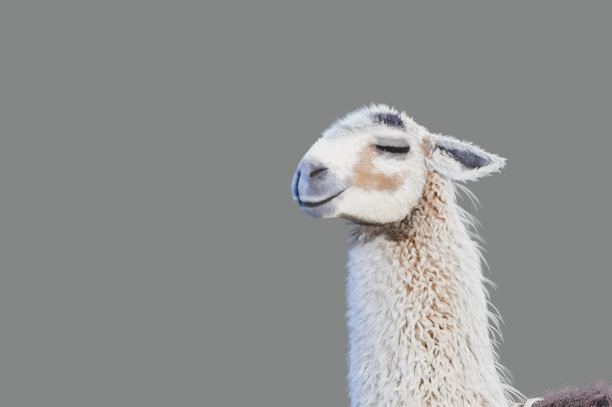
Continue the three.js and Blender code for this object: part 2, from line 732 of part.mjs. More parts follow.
const ears = Object.values(SIDES).map((sign) => earSolid(sign, 3 * GAP));
const crown = loft("forward", cored(HEAD, DEPTH.crown), { lift: EYE_HEIGHT, relief: headRelief });
const overCrown = (p, angle) => new THREE.Vector3(1, 0.8 * Math.cos(angle), -0.2);
const furred = joined([
  head.solid(...SECTIONS.head),
  ...wool(crown, head, "crown", overCrown, (p, angle) => Math.sin(angle) < 0.76),
  ...Object.values(SIDES).flatMap((s) => [lid(s, 9), lid(s, -7), lip(s, 6), lip(s, -7)]),
]);
const headWhole = closedUp(furred, WELD.face);
const headGrown = head.solid(...SECTIONS.head, GAP);
const face = headWhole
  .subtract(joined(ears))
  .subtract(joined(Object.values(SIDES).flatMap((s) => [lidSlit(s), nostril(s), eyeball(s, GAP)])))
  .subtract(lipCleft());
give("head", face.subtract(jawPlate(LIP_GAP / 2, GAP)), "white");
give("jaw", face.intersect(jawPlate(-LIP_GAP / 2, 0)), "grey");
for (const [side, sign] of Object.entries(SIDES)) {
  give(`ear_${side}`, earSolid(sign), "grey");
  give(`eye_${side}`, eyeball(sign), "eye");
}

give("neck", trunk.intersect(neckRoom(GAP)).subtract(joined([headGrown, ...ears])), "cream");
give("tail", trunk.intersect(tailRoom(GAP)), "brown");
const legRooms = Object.values(LEGS).map((leg) => legRoom(leg, 0));
const barrel = trunk.subtract(joined([neckRoom(0), tailRoom(0), ...legRooms]));
const CHEST_END = -330;
const BARREL_END = -800;
const between = (back, front) => block(vector(back, -far, 0), vector(front, far, 2000));
give("chest", barrel.intersect(between(CHEST_END + GAP, 400)), "cream");
give("barrel", barrel.intersect(between(BARREL_END + GAP, CHEST_END)), "brown");
give("rump", barrel.intersect(between(-1500, BARREL_END)), "brown");

for (const [name, leg] of Object.entries(LEGS)) {
  const whiteLeg = trunk.intersect(legRoom(leg, GAP));
  give(`${name}_upper_leg`, slice(whiteLeg, leg.bend + GAP, 900), "cream");
  give(`${name}_shank`, slice(whiteLeg, FOOT_CUT + GAP, leg.bend), "white");
  give(`${name}_foot`, slice(whiteLeg, -10, FOOT_CUT), "grey");
  for (const [place, inner] of Object.entries(SIDES))
    give(`${name}_nail_${place}`, nail(leg.foot, leg.sign * LEG_SPREAD, inner).intersect(aboveFloor), "horn");
}

// ---- The llama ----
const llama = new THREE.Group();
for (const [name, solid] of Object.entries(solids)) {
  const { vertProperties, triVerts } = solid.getMesh();
  const geometry = new THREE.BufferGeometry();
  geometry.setAttribute("position", new THREE.BufferAttribute(vertProperties, 3));
  geometry.setIndex(new THREE.BufferAttribute(triVerts, 1));
  geometry.computeVertexNormals();
  const mesh = new THREE.Mesh(geometry, new THREE.MeshStandardMaterial(looks[name]));
  mesh.name = name;
  llama.add(mesh);
}

// The origin is on the floor under the middle of the whole animal.
const reach = new THREE.Box3().setFromObject(llama);
const middle = reach.getCenter(new THREE.Vector3());
llama.position.set(-middle.x, -middle.y, -reach.min.z);

export default llama;
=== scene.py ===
"""Looks of a life-size standing llama: one skin under a coat of wool and short hair.

Sizes are in millimetres. Places are given from the point on the floor under the middle of the eyes,
as forward of the eyes, to the side and up, so x = -forward. Meshes are in metres, in the frame of
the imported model. The left side is -Y.
"""

import math

import bmesh
import bpy
import numpy as np
from mathutils import Matrix, Vector
from mathutils.kdtree import KDTree


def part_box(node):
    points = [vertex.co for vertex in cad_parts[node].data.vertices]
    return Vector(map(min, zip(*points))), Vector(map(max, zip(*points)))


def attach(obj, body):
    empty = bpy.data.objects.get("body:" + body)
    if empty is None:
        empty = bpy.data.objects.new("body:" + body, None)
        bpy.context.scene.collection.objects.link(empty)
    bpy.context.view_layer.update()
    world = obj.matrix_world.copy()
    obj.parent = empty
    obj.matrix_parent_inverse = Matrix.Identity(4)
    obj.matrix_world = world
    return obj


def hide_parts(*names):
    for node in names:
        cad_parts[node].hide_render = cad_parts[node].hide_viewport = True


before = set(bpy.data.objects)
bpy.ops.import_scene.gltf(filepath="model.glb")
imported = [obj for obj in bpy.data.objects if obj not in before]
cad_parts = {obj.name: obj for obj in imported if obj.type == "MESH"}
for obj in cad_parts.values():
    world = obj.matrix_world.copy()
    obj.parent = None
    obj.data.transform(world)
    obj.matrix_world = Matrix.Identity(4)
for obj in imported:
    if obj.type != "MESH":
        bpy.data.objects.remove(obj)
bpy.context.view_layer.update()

MM = 0.001
EYE_BOXES = [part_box(node) for node in ("eye_left", "eye_right")]
ORIGIN = np.array([sum(box[k].x for box in EYE_BOXES for k in (0, 1)) / 4, 0.0, 0.0])

# ---- Named sizes ----
EYE_HEIGHT = 1600
EYE_RADIUS = 22
EYE_SIDE = 53
EAR_LENGTH = 168
EAR_WALL = 6
LEG_SPREAD = 130
FORE_FOOT = -212
HIND_FOOT = -1016
TOE_SIZE = (92, 38, 44)
NAIL_SIZE = (30, 11, 13)
SIDES = {"left": -1, "right": 1}
TOE_APART, TOE_AHEAD = 20, 8
NAIL_APART, NAIL_HEIGHT = 23, 15

# How high above the floor the toes, nails and hairs stay, and the height below which no hair grows.
TOE_CLEAR, NAIL_CLEAR, HAIR_CLEAR = 0.8, 0.5, 0.4
SOLE_FREE = 9

# The outline of a station is an oval unless its row says how square its two halves are.
OVAL = 2

# Stations of each form: place, upper or front edge, widest level, lower or rear edge, half width,
# and how square its upper and lower halves are, if they are. They give the outline of the coat.
HEAD = [
    (-108, 20, -15, -60, 30),
    (-100, 36, -12, -84, 48),
    (-78, 58, -6, -116, 64, 2, 2.2),
    (-45, 71, 0, -146, 71, 2, 2.8),
    (-15, 77, 2, -158, 74, 2, 3),
    (15, 75, -2, -158, 73, 1.9, 3),
    (45, 64, -14, -152, 65, 1.8, 2.7),
    (75, 50, -28, -143, 55, 1.8, 2.4),
    (104, 36, -42, -136, 45, 1.9, 2.3),
    (128, 24, -54, -137, 41, 2.1, 2.4),
    (148, 11, -62, -137, 38, 2.3, 2.4),
    (164, -5, -68, -130, 36, 2.4, 2.4),
    (176, -19, -72, -120, 32, 2.4, 2.3),
    (184, -34, -76, -108, 26, 2.3, 2.2),
    (189, -52, -78, -98, 14),
]
NECK = [
    (1618, -60, -75, -92, 30),
    (1600, -50, -76, -104, 46),
    (1550, -45, -84, -130, 74),
    (1500, -10, -88, -152, 82, 1.5),
    (1470, 52, -84, -166, 86, 1.3),
    (1448, 82, -82, -178, 90, 1.3),
    (1425, 80, -78, -190, 98, 1.5),
    (1400, 74, -74, -202, 108, 1.8),
    (1300, 70, -79, -228, 127),
    (1200, 66, -87, -240, 131),
    (1100, 64, -104, -272, 146),
    (1000, 62, -131, -322, 172),
    (920, 56, -150, -366, 190),
    (860, 30, -165, -372, 180),
    (820, 0, -170, -340, 150),
]
TORSO = [
    (-1164, 960, 905, 842, 62),
    (-1152, 992, 905, 804, 110),
    (-1118, 1038, 902, 762, 168),
    (-1050, 1084, 895, 716, 222, 2.1),
    (-950, 1114, 885, 672, 256, 2.2),
    (-860, 1130, 872, 640, 274, 2.3),
    (-700, 1134, 855, 600, 280, 2.3, 2.2),
    (-520, 1124, 845, 584, 276, 2.2, 2.2),
    (-350, 1094, 840, 586, 262, 2.1, 2.2),
    (-240, 1072, 842, 594, 246),
    (-130, 1052, 845, 636, 216),
    (-50, 1006, 850, 690, 168),
    (0, 956, 858, 752, 110),
    (24, 912, 862, 806, 56),
    (30, 880, 862, 840, 20),
]
FORE_LEG = [
    (760, -160, -225, -290, 60),
    (700, -130, -225, -320, 74),
    (600, -146, -222, -298, 61),
    (540, -156, -220, -284, 53),
    (480, -165, -219, -272, 47),
    (420, -171, -217, -262, 42),
    (378, -171, -215, -257, 40),
    (340, -178, -216, -252, 34),
    (300, -187, -217, -248, 28),
    (220, -193, -219, -246, 24),
    (150, -193, -220, -247, 24),
    (110, -186, -219, -251, 29),
    (80, -178, -213, -248, 32),
    (52, -178, -212, -244, 32),
    (30, -190, -212, -234, 20),
]
HIND_LEG = [
    (960, -900, -985, -1070, 60),
    (860, -846, -985, -1112, 100),
    (760, -838, -972, -1100, 96),
    (680, -866, -978, -1088, 82),
    (610, -904, -992, -1078, 66),
    (540, -944, -1010, -1078, 50),
    (480, -974, -1026, -1088, 41),
    (446, -986, -1032, -1090, 38),
    (410, -996, -1034, -1078, 34),
    (340, -1004, -1034, -1062, 28),
    (220, -1002, -1028, -1055, 25),
    (150, -998, -1025, -1052, 25),
    (110, -990, -1023, -1055, 29),
    (80, -982, -1017, -1052, 32),
    (52, -982, -1016, -1048, 32),
    (30, -994, -1016, -1038, 20),
]
TAIL = [
    (1092, -1140, -1150, -1160, 20),
    (1078, -1112, -1152, -1198, 38),
    (1040, -1128, -1178, -1228, 46),
    (980, -1150, -1200, -1247, 50),
    (920, -1170, -1210, -1250, 48),
    (860, -1180, -1212, -1244, 40),
    (815, -1188, -1210, -1232, 26),
    (788, -1200, -1208, -1216, 12),
]

# Depth of the coat between the outline and the skin, at places along each form.
DEPTH = {
    "head": [(-108, 16), (-60, 12), (0, 8), (60, 5), (120, 2), (187, 1)],
    "neck": [(1618, 6), (1560, 14), (1480, 28), (1400, 36), (1100, 38), (980, 28), (820, 30)],
    "torso": [(-1164, 14), (-1118, 36), (-1000, 54), (-700, 64), (-350, 62), (-130, 56), (30, 12)],
    "tail": [(1092, 4), (1040, 16), (900, 20), (788, 4)],
    "fore": [(760, 34), (620, 26), (556, 7), (300, 4), (30, 2)],
    "hind": [(960, 36), (760, 34), (648, 9), (400, 4), (30, 2)],
}

# The line between the lips in profile, from the corner to the front, heights from the eyes.
MOUTH = [(98, -74), (112, -84), (130, -95), (150, -104), (170, -109), (188, -106), (215, -103)]

# Swellings and hollows of the head: forward, height from the eyes, reach, rise.
HEAD_FORMS = {
    "lids": (4, 0, 26, 9),
    "brow": (3, 38, 19, 12),
    "tear_hollow": (48, -6, 18, -5),
    "cheekbone": (26, -44, 24, 4),
    "cheek": (-18, -88, 46, 13),
    "jaw_hollow": (84, -106, 24, -4),
    "temple": (-40, 30, 20, -4),
    "nose_wing": (158, -28, 14, 4),
    "upper_lip": (160, -82, 17, 10),
    "lip_crease": (162, -60, 9, -8),
    "lower_lip": (146, -121, 13, 3),
    "chin": (128, -128, 14, 3),
}


def srgb(red, green, blue):
    """A colour of 0 to 255 as linear light."""
    share = np.array([red, green, blue]) / 255
    return np.where(share <= 0.04045, share / 12.92, ((share + 0.055) / 1.055) ** 2.4)


WHITE = srgb(250, 247, 242)
# Painted sky light: a bluish white for white hair where the sky's light falls.
SKYLIT_WHITE = srgb(222, 233, 252)
# Painted sky light: the blue that the sky casts on parts turned to the front.
SKYLIGHT_BLUE = srgb(88, 128, 208)
CREAM = srgb(242, 220, 182)
GOLD = srgb(184, 124, 64)
TAN = srgb(140, 92, 40)
RUST = srgb(98, 62, 32)
MUZZLE = srgb(98, 98, 126)
SLATE = srgb(38, 35, 52)
PLUM = srgb(96, 72, 84)
DUSK = srgb(40, 30, 42)
INK = srgb(30, 24, 64)
# Painted shadow: near black for the gaps of the face.
GAP_SHADOW_BLACK = srgb(8, 5, 10)
# A dark brown for brown wool in shade under the jaw, and for painted shadow along the mouth.
BROWN_SHADE = srgb(60, 36, 16)
BODY_ROOT = srgb(38, 24, 28)
BODY_TIP = srgb(64, 44, 52)
BODY_PALE_TIP = srgb(86, 62, 68)
LASH_BLACK = srgb(5, 4, 8)

# Patches of the head: forward and height from the eyes, reach, how wide, colour, share and seed.
FACE_PATCHES = [
    (56, -2, 29, 0.7, TAN, 0.89, 9),
    (70, -32, 28, 0.9, TAN, 0.84, 10),
    (84, -58, 24, 1.1, TAN, 0.89, 6),
    (50, -62, 27, 1.5, TAN, 0.89, 5),
    (16, -62, 27, 1.3, TAN, 0.89, 24),
    (22, -72, 16, 1.4, RUST, 0.75, 7),
    (56, -54, 11, 1.8, RUST, 0.3, 8),
    (12, -30, 15, 1.9, WHITE, 0.9, 12),
    # painted shade: grey in the folds under the eye
    (-4, -20, 10, 2.0, MUZZLE, 0.35, 25),
    (-12, -44, 12, 1.4, TAN, 0.5, 22),
    (-62, 2, 27, 0.62, TAN, 0.95, 11),
    (-64, 6, 16, 0.7, RUST, 0.6, 23),
    # painted shade: grey in the creases behind the eye
    (-30, -4, 9, 0.9, MUZZLE, 0.6, 28),
]
MUZZLE_PATCHES = [
    (166, -47, 24, 1.1, SLATE, 0.9, 15),
    (171, -84, 27, 0.9, SLATE, 0.95, 16),
    (148, -86, 20, 1.3, SLATE, 0.6, 18),
    (174, -61, 7, 1.7, DUSK, 0.7, 27),
]
CHIN_PATCHES = [(156, -126, 22, 1.4, SLATE, 0.7, 26)]
CROWN_PATCHES = [
    (-8, 57, 21, 1.4, INK, 1.0, 17),
    (20, 60, 9, 1.4, SLATE, 0.7, 19),
    (86, 44, 10, 1.4, SLATE, 0.6, 21),
]

# How far forward the grey of the muzzle starts, at heights from the eyes.
MUZZLE_EDGE = ([-135, -105, -80, -60, -40, -22, -6], [124, 112, 104, 102, 120, 144, 178])


# ---- Small tools ----
def place(forward, side, height):
    """Points in millimetres from arrays or numbers."""
    return np.stack(np.broadcast_arrays(-np.asarray(forward, float), side, height), -1)


def from_eyes(p):
    """How far points lie forward of the eyes, and how high above them."""
    return -p[:, 0], p[:, 2] - EYE_HEIGHT


def unit(v):
    return v / np.maximum(np.linalg.norm(v, axis=-1, keepdims=True), 1e-9)


def step(value, low, high):
    """0 below low, 1 above high, and smooth between."""
    t = np.clip((value - low) / (high - low), 0, 1)
    return t * t * (3 - 2 * t)


def fall(value, low, high):
    """1 below low, 0 above high, and smooth between."""
    return 1 - step(value, low, high)


def hump(distance, reach):
    return np.exp(-((distance / reach) ** 2))


def blend(a, b, share):
    return a + (b - a) * np.asarray(share)[..., None]


def plain(colour, p):
    """One colour for all points."""
    return np.tile(colour, (len(p), 1))


def ripple(p, size, seed):
    """A smooth field between about -1 and 1 that varies over the given size."""
    draw = np.random.default_rng(seed)
    total = 0
    for _ in range(7):
        way = unit(draw.normal(size=3)) * draw.uniform(0.7, 1.6) * 2 * np.pi / size
        total = total + np.sin(p @ way + draw.uniform(0, 2 * np.pi))
    return total / 2.6


def smooth_curve(places, values):
    """A smooth curve through values that never overshoots them."""
    order = np.argsort(places)
    x, y = np.array(places, float)[order], np.array(values, float)[order]
    steep = np.diff(y) / np.diff(x)
    before, after = np.append(steep[:1], steep), np.append(steep, steep[-1:])
    rising = before * after > 0
    slope = np.where(rising, 2 * before * after / np.where(rising, before + after, 1), 0)

    def curve(at):
        i = np.clip(np.searchsorted(x, at) - 1, 0, len(x) - 2)
        span = x[i + 1] - x[i]
        t = np.clip((at - x[i]) / span, 0, 1)
        held = (2 * t**3 - 3 * t**2 + 1) * y[i] + (3 * t**2 - 2 * t**3) * y[i + 1]
        return held + span * ((t**3 - 2 * t**2 + t) * slope[i] + (t**3 - t**2) * slope[i + 1])

    return curve


class Loft:
    """A form through stations, less the depth of its coat. Its places lie forward or up."""

    def __init__(self, stations, depth, upright=False, side=0, lift=0):
        table = np.array([(*station, OVAL, OVAL)[:7] for station in stations], float)
        self.places, self.upright, self.side, self.lift = table[:, 0], upright, side, lift
        self.curves = [smooth_curve(self.places, column) for column in table[:, 1:].T]
        self.depth = smooth_curve(*zip(*depth))

    def section(self, at):
        high, mid, low, half, crown, keel = (curve(at) for curve in self.curves)
        depth = self.depth(at)
        top, bottom = np.maximum(high - depth, mid + 2), np.minimum(low + depth, mid - 2)
        return top, mid, bottom, np.maximum(half - depth, 3), crown, keel

    def point(self, at, angle, swell=1):
        top, mid, bottom, half, crown, keel = self.section(at)
        above = np.sin(angle) > 0
        power = 2 / np.where(above, crown, keel)
        reach = np.where(above, top - mid, mid - bottom)
        out = np.sign(np.cos(angle)) * np.abs(np.cos(angle)) ** power * half * swell
        up = mid + np.sign(np.sin(angle)) * np.abs(np.sin(angle)) ** power * reach * swell
        if self.upright:
            return place(up, out + self.side, at + self.lift)
        return place(at, out + self.side, up + self.lift)

    def form(self, share, angle):
        """The point at a share of the way through the stations, with both ends domed."""
        last = len(self.places) - 1
        at = np.interp(share * last, np.arange(last + 1), self.places)
        end = np.clip(np.minimum(share, 1 - share) / 0.05, 0, 1)
        return self.point(at, angle, np.sqrt(end * (2 - end)))

    def locate(self, p):
        """Place along, angle round and distance outside the surface of points."""
        forward, height = -p[:, 0], p[:, 2] - self.lift
        at, level = (height, forward) if self.upright else (forward, height)
        top, mid, bottom, half, crown, keel = self.section(at)
        above = level > mid
        power = np.where(above, crown, keel)
        out = (p[:, 1] - self.side) / half
        up = (level - mid) / np.where(above, top - mid, mid - bottom)
        round_ = (np.abs(out) ** power + np.abs(up) ** power) ** (1 / power)
        beyond = np.maximum(at - self.places.max(), self.places.min() - at)
        off = np.maximum((round_ - 1) * half, beyond)
        angle = np.arctan2(
            np.sign(up) * np.abs(up) ** (power / 2), np.sign(out) * np.abs(out) ** (power / 2)
        )
        return at, angle, off


def moulded(sides, rows, form):
    """A closed ball whose vertices are moved to form(share from pole to pole, angle round)."""
    bm = bmesh.new()
    bmesh.ops.create_uvsphere(bm, u_segments=sides, v_segments=rows, radius=1)
    co = np.array([v.co for v in bm.verts])
    share = np.round(np.arccos(np.clip(co[:, 2], -1, 1)) / np.pi * rows) / rows
    points = form(share, np.arctan2(co[:, 1], co[:, 0])) * MM + ORIGIN
    for vert, point in zip(bm.verts, points):
        vert.co = point
    bmesh.ops.recalc_face_normals(bm, faces=bm.faces)
    return bm


def give_object(bm, name):
    mesh = bpy.data.meshes.new(name)
    bm.to_mesh(mesh)
    bm.free()
    mesh.shade_smooth()
    obj = bpy.data.objects.new(name, mesh)
    bpy.context.scene.collection.objects.link(obj)
    return obj


def ball(centre, radii, sides, rows, turn=0.0):
    """An egg form, turned by so many degrees about the sideways axis."""
    tilt = np.array(Matrix.Rotation(math.radians(turn), 3, "Y"))

    def form(share, angle):
        around = np.sin(np.pi * share)
        local = np.stack(
            [np.cos(angle) * around, np.sin(angle) * around, np.cos(np.pi * share)], -1
        )
        return (local * radii) @ tilt.T + centre

    return moulded(sides, rows, form)


# ---- Skin ----
head = Loft(HEAD, DEPTH["head"], lift=EYE_HEIGHT)
neck = Loft(NECK, DEPTH["neck"], upright=True)
torso = Loft(TORSO, DEPTH["torso"])
tail = Loft(TAIL, DEPTH["tail"], upright=True)
LEGS = {}
for side_name, sign in SIDES.items():
    for end, stations, foot in (("fore", FORE_LEG, FORE_FOOT), ("hind", HIND_LEG, HIND_FOOT)):
        loft = Loft(stations, DEPTH[end], upright=True, side=sign * LEG_SPREAD)
        LEGS[f"{end}_{side_name}"] = {"loft": loft, "foot": foot, "sign": sign}

mouth_height = smooth_curve(*zip(*MOUTH))
# The slit between the lids: its middle and half its length, the height of its corners, how it slopes
# and sags, and how far its two edges bow from its middle line.
SLIT_MIDDLE, SLIT_HALF = 9, 36
SLIT_CORNERS, SLIT_SLOPE, SLIT_SAG = 7.5, 0.045, -6.0
SLIT_UPPER, SLIT_LOWER = 2.5, -5.0


def beside_slit(forward):
    """How far outside the ends of the eye's slit a place is."""
    return np.abs(forward - SLIT_MIDDLE) - SLIT_HALF


def slit_edges(forward):
    """Heights of the upper and lower lid's edge, and how far along the slit a place is, 0 to 1."""
    along = np.clip(np.abs(forward - SLIT_MIDDLE) / SLIT_HALF, 0, 1)
    arch = np.sqrt(1 - along**2)
    middle = SLIT_CORNERS + SLIT_SLOPE * (forward - SLIT_MIDDLE) + SLIT_SAG * arch
    return middle + SLIT_UPPER * arch**0.7, middle + SLIT_LOWER * arch, along


# The nostril: its front end, its length, its height from the eyes and about half its opening.
NOSTRIL_FRONT, NOSTRIL_LONG, NOSTRIL_LEVEL, NOSTRIL_HALF = 178, 38, -53, 5.4


def nostril_shape(forward):
    """The height of the nostril's middle line and half its opening at a place forward."""
    share = np.clip((NOSTRIL_FRONT - forward) / NOSTRIL_LONG, 0, 1)
    level = NOSTRIL_LEVEL + 16 * share + 3 * np.sin(np.pi * share)
    return level, NOSTRIL_HALF * np.sin(np.pi * share**0.5) ** 0.7 * (1.25 - 0.9 * share)


def head_form(share, angle):
    """The skin of the head with its lids, nostrils, lips and the split of the upper lip."""
    p = head.form(share, angle)
    forward, height = from_eyes(p)
    on_side = np.abs(np.cos(angle)) ** 0.5
    rise = np.zeros(len(p))
    for at, level, reach, lift in HEAD_FORMS.values():
        rise += lift * hump(np.hypot(forward - at, height - level), reach)
    # lips: rolled edges above and below the line of the mouth, which is pressed in
    in_mouth = step(forward, MOUTH[0][0] - 6, MOUTH[0][0] + 22)
    above = height - mouth_height(forward)
    fat = 2.4 + 1.8 * step(forward, 125, 160)
    rolls = 3.8 * hump(above - 10, 6.5) + 3.0 * hump(above + 10, 6)
    rise += in_mouth * (rolls - 6.5 * hump(above, fat))
    rise += 3 * hump(np.hypot(forward - 88, height + 66), 9)
    # nostrils: a hollow slit with a raised rim
    level, half = nostril_shape(forward)
    off = np.abs(height - level) - half
    along = step(forward, 134, 144) * fall(forward, 172, 182)
    rise += along * (3.2 * hump(off - 4, 4) - 9 * fall(off, -3.5, 1))
    # folds under the eye and behind the corner of the mouth
    under = hump(np.hypot(forward - 14, (height + 26) * 1.2), 24)
    rise += 2.2 * under * np.sin((height + 0.28 * forward + 0.006 * forward**2) * 0.62)
    rise += 0.8 * in_mouth * hump(above - 26, 14) * np.sin((forward - 0.6 * height) * 0.42)
    # lids: two rolls over the ball of the eye, parted by a slit
    upper, lower, _ = slit_edges(forward)
    upper_gap, lower_gap = height - upper, lower - height
    beside = beside_slit(forward)
    near_eye = fall(beside, -8, 14)
    lids = 4.5 * hump(upper_gap - 5, 6) * step(upper_gap, -4, 2)
    lids += 3.0 * hump(lower_gap - 4, 5) * step(lower_gap, -4, 2)
    fold = 1.5 * hump(upper_gap - 9, 4) - 7 * hump(upper_gap - 18, 5) - 3 * hump(lower_gap - 13, 3.5)
    rise += near_eye * (lids + fold)
    opening = fall(upper_gap, -3.5, 0) * fall(lower_gap, -3.5, 0) * fall(beside, -5, 0)
    rise -= 8 * opening
    p[:, 1] += np.cos(angle) * rise * on_side
    p[:, 2] += 0.4 * np.sin(angle) * rise * on_side
    # the two lobes of the upper lip, the split between them and the soft groove up to the nose
    lobes = hump(np.hypot(np.abs(p[:, 1]) - 17, (height + 76) * 0.7), 16) * step(forward, 150, 182)
    p[:, 0] -= 7 * lobes
    split = step(forward, 156, 178) * step(above, -2, 3) * fall(height, -54, -34)
    p[:, 0] += 12 * split * hump(p[:, 1], 5.5)
    groove = 2.5 * step(forward, 165, 180) * hump(p[:, 1], 7)
    p[:, 0] += groove * fall(height, -40, -25) * (above > 0)
    return p


def ear_frame(sign):
    """The ear's root and its three ways: along it, out of its opening and across."""
    root = place(-70, sign * 46, EYE_HEIGHT + 14)
    along = unit(place(-0.73, sign * 0.6, -0.24))
    open_ = place(0.62, sign * 0.74, -0.14)
    open_ = unit(open_ - along * (open_ @ along))
    return root, along, open_, np.cross(along, open_) * sign


ear_half = smooth_curve([0, 0.16, 0.34, 0.5, 0.66, 0.84, 0.95, 1], [20, 27, 34, 36, 30, 18, 10, 3])
ear_curl = smooth_curve([0, 0.2, 0.6, 1], [2.5, 1.9, 1.2, 0.7])
ear_lean = smooth_curve([0, 0.16, 0.34, 0.5, 0.66, 0.84, 1], [0, -7, -13, -17, -16, -9, 1])
ear_furrow = smooth_curve([0, 0.25, 0.46, 0.6, 0.83, 1], [0, 1, -3, -8, -11, -10])
root_radius = smooth_curve([0, 0.3, 0.65, 0.88, 1], [4, 24, 20, 12, 3])

# Where the swelling at the foot of the ear starts along it and how long it is, and how far before
# the ear's axis the middle of its roundness lies, as a share of its radius. The swelling sinks back
# by its slope from one end to the other.
EAR_FOOT = (-0.16, 0.34)
EAR_SEAT = 0.25
ROOT_SLOPE = 9


def ear_radius(share):
    """The radius of the cup's roundness."""
    return ear_half(share) / np.sin(np.minimum(ear_curl(share), np.pi / 2))


def ear_axis(sign, share):
    root, along, _, across = ear_frame(sign)
    straight = root + np.multiply.outer(share * EAR_LENGTH, along)
    return straight + np.multiply.outer(ear_lean(share), across)


def ear_form(sign):
    """A leaf-shaped cup, rolled into a tube at the root and opening towards the tip."""
    _, _, open_, across = ear_frame(sign)

    def form(share, angle):
        around = np.cos(angle) * ear_curl(share)
        wall = 0.5 * EAR_WALL * np.sign(np.sin(angle)) * np.abs(np.sin(angle)) ** 0.6
        pole = (share <= 0) | (share >= 1)
        radius = ear_radius(share)
        reach = np.where(pole, 0, radius - wall)
        back = np.where(pole, (EAR_SEAT - 1) * radius, EAR_SEAT * radius - np.cos(around) * reach)
        sideways = (np.sin(around) * reach)[:, None] * across
        return ear_axis(sign, share) + sideways + back[:, None] * open_

    return form


def ear_root_form(sign):
    """The swelling that fills the foot of the ear and runs on into the skull."""
    _, _, open_, across = ear_frame(sign)

    def form(share, angle):
        radius = root_radius(share)
        lift = np.sin(angle) * radius - ROOT_SLOPE * share
        axis = ear_axis(sign, EAR_FOOT[0] + EAR_FOOT[1] * share)
        return axis + (np.cos(angle) * radius)[:, None] * across + lift[:, None] * open_

    return form


def claw(centre):
    """A nail with a ridge along its top, curving down to a blunt point at the front."""

    def form(share, angle):
        thick = np.sin(np.pi * np.minimum(share * 2.6, 1) / 2) * np.clip(1 - share**3, 0, 1) ** 0.6
        out = np.cos(angle) * NAIL_SIZE[1] * thick * (1 - 0.35 * share)
        ridge = 1.15 * np.maximum(np.sin(angle), 0) - 0.75 * np.maximum(-np.sin(angle), 0)
        up = ridge * NAIL_SIZE[2] * thick * (1 - 0.4 * share) + 5 - 15 * share**2
        forward = (share - 0.45) * NAIL_SIZE[0] * 1.15
        height = np.maximum(centre[2] + up, NAIL_CLEAR)
        return np.stack([centre[0] - forward, centre[1] + out, height], -1)

    return moulded(24, 22, form)


def toe_balls(leg):
    """Two toes side by side, each an egg flattened on the floor."""
    for inner in (-1, 1):
        side = leg["sign"] * LEG_SPREAD + inner * TOE_APART
        centre = place(leg["foot"] + TOE_AHEAD, side, TOE_SIZE[2] * 0.42)
        radii = (TOE_SIZE[0] / 2 - 2, TOE_SIZE[1] / 2 - 1, TOE_SIZE[2] * 0.6)
        bm = ball(centre, radii, 32, 22)
        for vert in bm.verts:
            vert.co.z = max(vert.co.z, TOE_CLEAR * MM)
        yield bm


# Points around and along each form.
FINENESS = {
    "head": (236, 214),
    "neck": (100, 90),
    "torso": (120, 100),
    "tail": (36, 40),
    "leg": (40, 110),
    "ear": (60, 70),
    "ear root": (36, 24),
}

# Metres: how near points are welded, the heights between which the forms melt into each other, and
# up to where and how far behind the eyes the nape does.
WELD = 1e-5
MELT_LOW, MELT_HIGH = 0.6, 1.42
NAPE_HIGH, NAPE_BEHIND = 1.56, 0.06
MELTING_ROUNDS = 6


def joined_skin():
    """All forms of flesh joined into one surface."""
    trunk = {"head": head_form, "neck": neck.form, "torso": torso.form, "tail": tail.form}
    forms = [moulded(*FINENESS[name], form) for name, form in trunk.items()]
    for leg in LEGS.values():
        forms.append(moulded(*FINENESS["leg"], leg["loft"].form))
        forms.extend(toe_balls(leg))
    for ear_sign in SIDES.values():
        forms.append(moulded(*FINENESS["ear"], ear_form(ear_sign)))
        forms.append(moulded(*FINENESS["ear root"], ear_root_form(ear_sign)))
    pieces = [give_object(bm, f"form_{i}") for i, bm in enumerate(forms)]
    whole = pieces[0]
    for piece in pieces[1:]:
        union = whole.modifiers.new("join", "BOOLEAN")
        union.operation, union.solver, union.object = "UNION", "MANIFOLD", piece
        graph = bpy.context.evaluated_depsgraph_get()
        mesh = bpy.data.meshes.new_from_object(whole.evaluated_get(graph))
        whole.modifiers.clear()
        whole.data = mesh
    for piece in pieces[1:]:
        bpy.data.objects.remove(piece)
    bm = bmesh.new()
    bm.from_mesh(whole.data)
    bpy.data.objects.remove(whole)
    bmesh.ops.remove_doubles(bm, verts=bm.verts, dist=WELD)
    nape = {v for v in bm.verts if v.co.z < NAPE_HIGH and v.co.x > ORIGIN[0] + NAPE_BEHIND}
    soft = [v for v in bm.verts if MELT_LOW < v.co.z < MELT_HIGH or v in nape]
    all_ways = {f"use_axis_{axis}": True for axis in "xyz"}
    for _ in range(MELTING_ROUNDS):
        bmesh.ops.smooth_vert(bm, verts=soft, factor=0.5, **all_ways)
    bmesh.ops.triangulate(bm, faces=bm.faces)
    return give_object(bm, "skin")


skin = joined_skin()

# ---- Where each part of the skin lies ----
LOFTS = {"head": head, "neck": neck, "torso": torso, "tail": tail}
LOFTS.update({name: leg["loft"] for name, leg in LEGS.items()})
LEG_NAMES, EAR_NAMES = list(LEGS), [f"ear_{side}" for side in SIDES]
REGIONS = list(LOFTS) + EAR_NAMES


# How near the cup's wall and the root's surface a point of the ear lies, and how far to the side.
CUP_REACH, ROOT_REACH, EAR_SIDE = 5.5, 3, 50


def among(found, names):
    """Which of the numbered forms are the named ones."""
    return np.isin(found, [REGIONS.index(name) for name in names])


def ear_places(p, sign):
    """Share along the ear, offset across it and distance from its axis."""
    root, along, open_, across = ear_frame(sign)
    share = (p - root) @ along / EAR_LENGTH
    away = p - ear_axis(sign, share)
    return share, away @ across, away @ open_


def on_ear(p, sign):
    """Whether points lie on the ear's cup or on its root inside the cup."""
    share, across, out = ear_places(p, sign)
    radius = ear_radius(share)
    cup = np.abs(np.hypot(across, out - EAR_SEAT * radius) - radius) < CUP_REACH
    part = (share - EAR_FOOT[0]) / EAR_FOOT[1]
    root = (np.hypot(across, out + ROOT_SLOPE * part) < root_radius(part) + ROOT_REACH) & (part < 1.05)
    return (cup | root) & (share > 0.1) & (share < 1.03) & (p[:, 1] * sign > EAR_SIDE)


